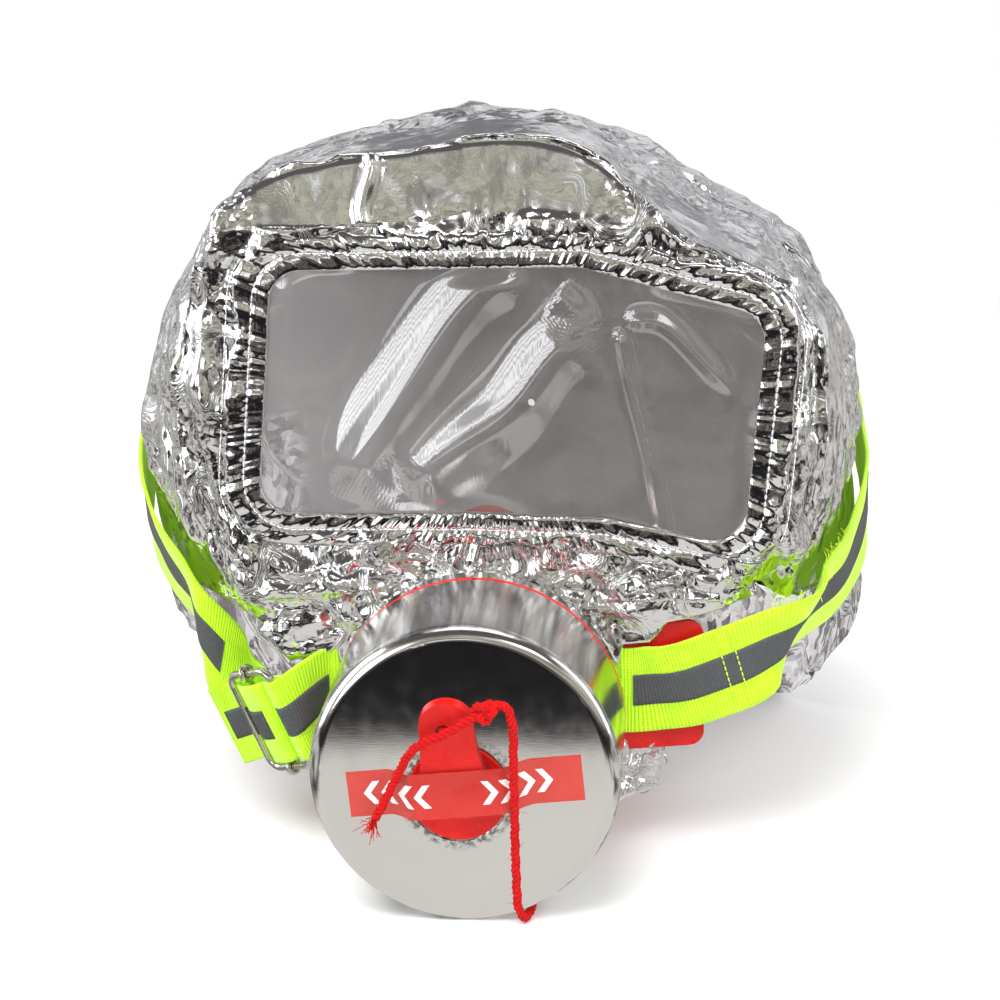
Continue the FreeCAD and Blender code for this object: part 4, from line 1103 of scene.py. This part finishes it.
def head_strap_stations(hood):
    """Strap stations from the right lug round the hood to the buckle."""
    lean = (-0.28, 0, 0.96)
    right = [((70, -79.6, 63.5), lean), ((84, -80.6, 68), lean), ((98, -81, 73.5), lean),
             ((108, -81, 78.5), (-0.1, -0.05, 1)), ((115, -80, 82), (0.15, -0.1, 1)),
             ((120, -74, 86.5), (0.4, -0.1, 0.9))]
    left = [((-107, -64, 81), (0, 0, 1)), ((-100, -64, 70), (0.2, 0.1, 0.97)),
            ((-92, -61, 60), (0.05, 0.05, 1)), ((-86, -60, 53.5), (-0.2, 0, 0.98))]
    weave = [(at_buckle(s, n), -BAR_DIR) for s, n in WEAVE]
    return slot_stations(1) + right + hood_stations(hood) + left + weave


class Ribbon:
    """A flat strap along stations of (middle, direction across it), with a slight wave where it is free."""

    def __init__(self, stations, seed):
        rows = np.array([[*m, *unit(np.array(c, float))] for m, c in stations], float)
        path, self.along = smooth_path(rows, 1.1 / DETAIL)
        self.middle, self.across = path[:, :3], unit(path[:, 3:])
        self.out = unit(np.cross(np.gradient(self.middle, axis=0), self.across))
        self.free = np.zeros(len(self.along))
        self.seed = seed

    def surface(self, side, lift, rows=slice(None)):
        """Points side from the middle line (one value per column) and lift above the middle plane."""
        s = self.along[rows][:, None] + 0 * side[None]
        c = side[None] + 0 * s
        free = self.free[rows][:, None]
        spot = np.stack([s, c * 1.4, np.zeros_like(s)], -1)
        wave = waves(spot, 46, self.seed) * 0.7 + facets(spot, 24, self.seed + 1) * 0.5
        edge = waves(np.stack([s, 0 * s, 0 * s], -1), 30, self.seed + 2) * 0.5
        offset = lift + wave * free
        return (self.middle[rows][:, None] + self.across[rows][:, None] * (c + edge * free)[..., None]
                + self.out[rows][:, None] * offset[..., None])

    def build(self, name, look, size, slot, replaces, rows=slice(None), lift=0.0, columns=25):
        """Closed strip of a given (width, thickness): outer face, two edges and inner face."""
        width, thickness = size
        side = np.linspace(-width / 2, width / 2, columns)
        outer = self.surface(side, lift + thickness / 2, rows)
        inner = self.surface(side[::-1], lift - thickness / 2, rows)
        loop = np.concatenate([outer, inner], 1)
        n, m = loop.shape[:2]
        uv = np.stack([np.repeat(self.along[rows][:, None], m, 1),
                       np.concatenate([side, side[::-1]])[None] + np.zeros((n, 1))], -1)
        faces = grid_faces(n, m, closed_cols=True)[:, ::-1].tolist()
        for k in range(columns - 1):
            across = [k, k + 1, m - 2 - k, m - 1 - k]
            faces.append(across[::-1])
            faces.append([(n - 1) * m + i for i in across])
        build_mesh(name, loop.reshape(-1, 3), faces, look, slot, replaces=[replaces], uv=uv.reshape(-1, 2))

    def row_near(self, point):
        """Number of the row nearest to a point."""
        return int(np.argmin(np.linalg.norm(self.middle - np.array(point), axis=1)))


def straps(stations):
    """Both straps, each with its reflective stripe; gives back the head strap."""
    head = Ribbon(stations, 91)
    # The head strap waves a little between its lug and its buckle.
    total = head.along[-1]
    head.free = between(16, 34, total - 80, total - 62, head.along)
    tab_stations = slot_stations(-1) + [(at_buckle(s, n), -BAR_DIR) for s, n in TAB_AROUND]
    tab = Ribbon(tab_stations, 95)
    webbing, stripe = (STRAP_W, STRAP_T), (REFLECT_W, REFLECT_T)
    lift = (STRAP_T + REFLECT_T) / 2 + 0.03
    in_slot, in_buckle = len(slot_stations(1)), len(WEAVE)
    head.build("head_strap_webbing", WEBBING, webbing, "webbing", "head_strap")
    first = head.row_near((58, SLOT_FRONT, SLOT_Z))
    last = head.row_near(stations[-in_buckle - 3][0])
    head.build("head_strap_stripe", REFLECTOR, stripe, "reflector", "head_strap_reflector",
               slice(first, last + 1), lift, 9)
    tail = head.row_near(stations[6 - in_buckle][0])
    head.build("strap_tail_stripe", REFLECTOR, stripe, "reflector", "strap_tail_reflector",
               slice(tail, len(head.along) - 2), -lift, 9)
    tab.build("tab_strap_webbing", WEBBING, webbing, "webbing", "tab_strap")
    first, last = [tab.row_near(tab_stations[k][0]) for k in (in_slot - 1, in_slot + 1)]
    tab.build("tab_strap_stripe", REFLECTOR, stripe, "reflector", "tab_reflector",
              slice(first, last + 1), -lift, 9)
    return head


def elastic(hood):
    """Flat elastic inside the rear hem."""
    middle = np.array([8, 20, 0])
    outline = []
    for c in range(0, hood.COLUMNS, 4):
        p = hood.at(np.array([hood.starts[c] + 4.0]), np.array([c]))[0]
        if p[1] > REAR_SEAM_Y + 4 and p[2] < 8:
            outline.append(p)
    outline = np.array(outline)
    order = np.argsort(np.arctan2(outline[:, 1] - middle[1], outline[:, 0] - middle[0]))
    ring = outline[order]
    ring[:, 2] = 0
    inward = unit(middle - ring)
    section = [(2.6, 3.2), (2.4, 7.4), (4.2, 7.4), (4.4, 3.2)]     # distance inwards, height
    p = np.array([[point + ahead * inset + np.array([0, 0, height]) for inset, height in section]
                  for point, ahead in zip(ring, inward)])
    look = grain_material("elastic", (0.86, 0.86, 0.84), 0.0008, 0.0, 0.85)
    build_mesh("hem_elastic", p.reshape(-1, 3), grid_faces(len(p), len(section), closed_cols=True), look,
               "elastic", replaces=["neck_elastic"])


# ---------------------------------------------------------------- cord and label
KNOT = np.array([9.6, -166.5, 85.5])
CORD_R = 1.6
TABLE_Z = CORD_R + 0.1     # height of the cord's middle where it lies on the table
LABEL_Z = 52.0


def twisted(soup, path, radius, seed):
    """Three strands laid round each other along a path."""
    strands, pitch = 3, 6.5
    path, along = smooth_path(path, 0.55 / DETAIL)
    _, normal, other = carried_frame(path, [0.2, 0.3, 0.9])
    for k in range(strands):
        turn = along * 2 * math.pi / pitch + k * 2 * math.pi / strands
        wobble = 1 + 0.10 * np.sin(along * 1.9 + k * 2.1 + seed)
        offset = radius * 0.50 * wobble
        strand = path + normal * (np.cos(turn) * offset)[:, None] + other * (np.sin(turn) * offset)[:, None]
        soup.tube(strand, radius * 0.56 * wobble, 7)


def fibres(soup, root, direction, number, length, spread, radius, seed):
    """Loose fibres that fan out from a cut end."""
    rng = np.random.default_rng(seed)
    for _ in range(number):
        aim = unit(np.array(direction) + rng.normal(size=3) * spread)
        bend = rng.normal(size=3) * 0.35
        t = np.linspace(0, 1, 6)[:, None]
        reach = length * rng.uniform(0.5, 1.0)
        start = np.array(root) + rng.normal(size=3) * 0.5
        path = start + aim * t * reach + bend * t * t * reach
        path[:, 2] = np.maximum(path[:, 2], ABOVE_TABLE)
        soup.tube(path, radius, 4)


def from_knot(direction):
    """First points of a piece of cord that leaves the knot."""
    return [KNOT, KNOT + unit(np.array(direction, float)) * 6.0]


def knot_loop():
    """Closed trefoil path: the knot's own turns."""
    t = np.linspace(0, 2 * math.pi, 15)[:-1]
    x, z = np.sin(t) + 2 * np.sin(2 * t), np.cos(t) - 2 * np.cos(2 * t)
    loop = np.stack([x, -np.sin(3 * t) * 1.1, z], 1)
    return KNOT + np.concatenate([loop, loop[:1]]) * 1.15


def cord():
    """The red cord: through the tab's hole to a knot, one tail frayed on the face, one down to the table."""
    long_tail = from_knot((0.85, 0.1, 0.35))
    long_tail += [(18.2, -164.6, 82), (18.4, -161.5, 68), (18.2, -159, 52), (18.0, -156, 34),
                  (18.2, -153.8, 12), (18.8, -152.6, 6), (20.5, -149.5, 2.2), (22, -143, TABLE_Z),
                  (22.5, -130, TABLE_Z), (22.5, -112, TABLE_Z)]
    short_tail = from_knot((-0.88, 0, -0.47))
    short_tail += [(-0.5, -166.3, 79.6), (-5.7, -165.8, 76.6), (-11, -165, 74), (-16.5, -162.5, 69.5),
                   (-21, -158.6, 61.5), (-25.5, -155.6, 52), (-31, -153.6, 41)]
    through = from_knot((0.1, 0.9, -0.4))
    through += [(6.5, -156.9, 82.2), (0.5, -154.9, 80), (-4.4, -155.2, 78.3), (-5.7, -158.2, 77.2),
                (-5.7, -161.5, 76.3), (-5.7, -165, 75.6)]
    soup = Soup()
    for k, path in enumerate((long_tail, short_tail, through)):
        twisted(soup, path, CORD_R, k)
    twisted(soup, knot_loop(), CORD_R * 0.95, 5)
    fibres(soup, short_tail[-1], (-0.4, -0.1, -1), 46, 6.5, 0.35, 0.13, 7)
    fibres(soup, long_tail[-1], (0, 1, 0), 16, 4.0, 0.30, 0.13, 8)
    # Short hairs all along both tails.
    rng = np.random.default_rng(17)
    for path, stop in ((long_tail, -14), (short_tail, -1)):
        line, _ = smooth_path(path, 1.6)
        for point in line[4:stop]:
            fibres(soup, point, rng.normal(size=3), 2, 2.6, 0.6, 0.06, int(rng.integers(1e6)))
    soup.build("pull_cord_twisted", CORD, "red_cord", body="inlet_plug", replaces=["pull_cord"])


def label():
    """Film strip stuck to the canister's face, arched over the plug."""
    columns, rows = int(260 * DETAIL), int(54 * DETAIL)
    x, z = np.meshgrid(np.linspace(-41, 42, columns), np.linspace(-8.5, 8.5, rows))
    lift = between(-27, -16.5, 13, 25, x)
    wrinkle = waves(np.stack([x, z * 0.5], -1), 16, 111) * 0.22 * (0.2 + lift)
    y = CAN_FRONT - 0.25 - lift * 7.9 - np.abs(wrinkle)
    tilt = math.radians(5)
    across = x * math.cos(tilt) - z * math.sin(tilt)
    up = LABEL_Z + x * math.sin(tilt) + z * math.cos(tilt)
    p = np.stack([across, y, up], -1).reshape(-1, 3)
    uv = np.stack([x + 2.0, z], -1).reshape(-1, 2)
    build_mesh("seal_label_film", p, grid_faces(rows, columns), label_material(), "label_film",
               body="inlet_plug", replaces=["seal_label"], uv=uv)


def strap_stitches(head):
    """Two short rows of yellow thread across the right-hand strap, and its frayed upper edge."""
    soup = Soup()
    start = head.row_near((92, -81, 71))
    for row in (start, start + int(5 * DETAIL)):
        for side in np.arange(-15, 15, 2.2):
            spots = head.surface(np.array([side, side + 1.5]), STRAP_T / 2 + 0.25, slice(row, row + 1))[0]
            middle = spots.mean(0) + head.out[row] * 0.3
            soup.tube([spots[0], middle, spots[1]], 0.28, 5)
    edge = np.array([STRAP_W / 2])
    for row in range(head.row_near((110, -80, 80)), head.row_near((140, -45, 98)), 2):
        root = head.surface(edge, 0.0, slice(row, row + 1))[0, 0]
        fibres(soup, root, head.across[row], 3, 4.2, 0.35, 0.14, 200 + row)
    soup.build("strap_stitching", YELLOW_THREAD, "webbing")


# ---------------------------------------------------------------- stage
LIGHT_AIM = (0, 0, 0.1)


def softbox(n, direction, centre, half_width, half_height, softness):
    """1 inside a rectangle of directions round centre, 0 outside; and its own two coordinates."""
    c = unit(np.array(centre, float))
    a = np.array([1.0, 0, 0]) if abs(c[2]) > 0.99 else unit(np.cross(c, [0, 0, 1]))
    b = np.cross(a, c)
    ahead = n.vector("DOT_PRODUCT", direction, tuple(c))
    safe = n.math("MAXIMUM", ahead, 0.02)
    u, w = [n.math("DIVIDE", n.vector("DOT_PRODUCT", direction, tuple(axis)), safe) for axis in (a, b)]
    inside = n.times(n.step(half_width + softness, half_width - softness, n.size_of(u)),
                     n.step(half_height + softness, half_height - softness, n.size_of(w)))
    return n.times(inside, n.math("GREATER_THAN", ahead, 0.05)), u, w


def mirrored_room(n, d):
    """What mirrors see in front of the object: a dim room with dark, green, red and bright things in it."""
    y, z = n.part(d, "Y"), n.part(d, "Z")
    patches = n.streaks(d, (2.2, 2.2, 3.0), 4, rough=0.6)
    room = n.mix(n.step(0.33, 0.66, patches), (0.025, 0.02, 0.018), (0.62, 0.60, 0.54))
    green = n.step(0.54, 0.70, n.streaks(d, (4.0, 4.0, 4.0), 2), 0.0, 0.7)
    room = n.mix(green, room, (0.16, 0.25, 0.17))
    red = n.step(0.66, 0.72, n.noise(n.scaled(d, (5, 5, 6)), 1.3, 2))
    room = n.mix(red, room, (0.40, 0.08, 0.05))
    panes = n.noise(n.vector("ADD", n.scaled(d, (3.2, 3.2, 3.6)), (3.1, 1.7, 0.4)), 1.0, 3)
    room = n.mix(n.step(0.55, 0.60, panes), room, (1.15, 1.16, 1.20))
    # A beige-green wall across the room, at eye height, and a dim ceiling.
    wall = n.times(n.step(0.02, 0.10, z), n.step(0.50, 0.34, z))
    marks = n.step(0.35, 0.65, n.streaks(d, (4, 4, 11), 4))
    wall_color = n.mix(marks, (0.12, 0.125, 0.09), (0.60, 0.57, 0.47))
    room = n.mix(n.times(wall, n.step(-0.55, -0.8, y)), room, wall_color)
    return n.mix(n.step(0.45, 0.7, z), room, (0.10, 0.09, 0.09))


def mirrored_backdrop(n, d):
    """What mirrors see behind the object: a pale backdrop with dark upright strips."""
    cloud = n.step(0.35, 0.62, n.streaks(d, (3.0, 3.0, 2.0), 3))
    backdrop = n.mix(cloud, (0.55, 0.55, 0.56), (0.86, 0.86, 0.88))
    strips = n.step(0.50, 0.56, n.streaks(d, (7.0, 7.0, 2.0), 3))
    low = n.step(0.9, 0.4, n.part(d, "Z"), 0.0, 0.8)
    return n.mix(n.times(strips, low), backdrop, (0.10, 0.10, 0.105))


def mirrored_boxes(n, d, light):
    """Adds three plain softboxes and two with slanting bars, whose stripes show in the film's folds."""
    plain = [((0.1, 0.10, 1.0), 0.40, 0.22, 1.8), ((1.0, -0.05, 0.30), 0.22, 0.55, 1.7),
             ((0.35, -0.75, 0.55), 0.16, 0.10, 3.0)]
    for centre, half_width, half_height, strength in plain:
        mask, _, _ = softbox(n, d, centre, half_width, half_height, 0.05)
        light = n.mix(mask, light, (strength,) * 3)
    barred = [((-0.58, -0.80, 0.10), 0.24, 0.34), ((-1.0, -0.10, 0.35), 0.30, 0.45)]
    for centre, half_width, half_height in barred:
        mask, u, w = softbox(n, d, centre, half_width, half_height, 0.02)
        slanted = n.times(n.plus(u, n.times(w, 0.4)), 62.0)
        bars = n.step(-0.5, 0.1, n.math("SINE", slanted), 0.35, 1.0)
        light = n.mix(n.times(mask, bars), light, (3.6, 3.6, 3.7))
    return light


def studio_world():
    """White for the camera and for soft light; mirrors see a room, a backdrop and softboxes."""
    n = Nodes(bpy.data.worlds.new("studio"))
    d = n.vector("NORMALIZE", n.coords("Generated"))
    behind = n.step(0.05, 0.60, n.part(d, "Y"))
    light = mirrored_boxes(n, d, n.mix(behind, mirrored_room(n, d), mirrored_backdrop(n, d)))
    mirrored = n.make("ShaderNodeBackground", {"Color": light, "Strength": 1.0})
    soft, white = [n.make("ShaderNodeBackground", {"Color": (1.0, 1.0, 1.0), "Strength": strength})
                   for strength in (0.75, 1.0)]
    surface = n.shade(n.ray("Is Camera Ray"), n.shade(n.ray("Is Glossy Ray"), soft, mirrored), white)
    bpy.context.scene.world = n.done(surface, "ShaderNodeOutputWorld")


def mirrored_table(n, p):
    """What mirrors see of the floor: a beige table with dark shapes, and a dark room beyond its edge."""
    x, y = n.part(p, "X"), n.part(p, "Y")
    table = n.mix(n.noise(p, 9, 3), (0.64, 0.62, 0.585), (0.76, 0.74, 0.71))
    side = n.math("MAXIMUM", n.step(-0.14, -0.02, y), n.step(0.11, 0.16, n.size_of(x)))
    shapes = n.noise(n.vector("ADD", n.scaled(p, (9, 5, 1)), (2.7, 0.3, 0)), 1.0, 5, rough=0.6)
    table = n.mix(n.times(side, n.step(0.46, 0.58, shapes)), table, (0.06, 0.055, 0.055))
    black = (0.012, 0.011, 0.013)
    things = n.streaks(p, (5, 3, 1), 5, rough=0.62)
    beyond = n.mix(n.step(0.42, 0.62, things), black, (0.20, 0.17, 0.15))
    beyond = n.mix(n.step(0.60, 0.66, things), beyond, (0.75, 0.73, 0.68))
    beyond = n.mix(n.step(-0.50, -0.75, y), black, beyond)
    edge = n.plus(y, n.times(n.noise(p, 14, 2), 0.03))
    return n.mix(n.step(-0.328, -0.302, edge), beyond, table)


def floor_material():
    """Pale and plain for the camera, turning to pure white far off."""
    n = material("pale_floor")
    p = n.coords()
    seen = n.emission(mirrored_table(n, p))
    plain = n.principled(color=(0.93, 0.93, 0.93), roughness=0.7, specular=0.2,
                         normal=n.bump(n.noise(p, 300, 2), 0.02, 0.0005))
    white = n.emission((1.0, 1.0, 1.0))
    far = n.step(0.45, 1.1, n.vector("LENGTH", p))
    return n.done(n.shade(n.ray("Is Glossy Ray"), n.shade(far, plain, white), seen))


def floor():
    """The studio's floor, 12 m across."""
    half = 6.0
    corners = [(-half, -half, 0), (half, -half, 0), (half, half, 0), (-half, half, 0)]
    mesh = bpy.data.meshes.new("studio_floor")
    mesh.from_pydata(corners, [], [(0, 1, 2, 3)])
    mesh.materials.append(floor_material())
    add_object("studio_floor", mesh)


def area_light(name, place, size, power):
    """Round light aimed at the object; it doesn't show in mirrors."""
    data = bpy.data.lights.new(name, "AREA")
    data.shape = "DISK"
    data.size = size
    data.energy = power
    obj = add_object(name, data)
    obj.location = place
    obj.rotation_euler = (Vector(LIGHT_AIM) - Vector(place)).to_track_quat("-Z", "Y").to_euler()
    obj.visible_glossy = False


def camera():
    """Seen from in front, a little to the right and above."""
    data = bpy.data.cameras.new("camera")
    data.sensor_width = 36.0
    data.lens = 92.23
    obj = add_object("camera", data)
    right, up, ahead = (0.99710, 0.07345, -0.01995), (0.0, 0.26215, 0.96503), (-0.07611, 0.96223, -0.26139)
    turn = Matrix((right, up, [-k for k in ahead])).transposed()
    obj.matrix_world = Matrix.Translation((0.08087, -0.98590, 0.38275)) @ turn.to_4x4()
    bpy.context.scene.camera = obj


def main():
    paint_nodes()
    hood = Hood()
    stations = head_strap_stations(hood)
    outside_buckle = stations[:-len(WEAVE)]
    runs = [smooth_path([s[0] for s in part], 2.5)[0] for part in (outside_buckle, slot_stations(-1))]
    points, roughness = crumple(hood, np.concatenate(runs))
    hood_panels(hood, points, roughness)
    front_wings()
    visor_binding()
    window_stitches()
    visor_sheet()
    strap_stitches(straps(stations))
    elastic(hood)
    cord()
    label()
    # The plug, cord and label don't show again as doubles in the mirror face just behind them.
    for name in ("pull_cord_twisted", "seal_label_film"):
        bpy.data.objects[name].visible_glossy = False
    frame["nodes"]["front_plug"].visible_glossy = False
    studio_world()
    floor()
    area_light("key", (-0.35, -0.55, 1.25), 1.3, 26)
    area_light("fill", (0.9, -0.7, 0.8), 0.9, 9)
    camera()
    view = bpy.context.scene.view_settings
    view.view_transform = "Standard"
    view.look = "None"


main()
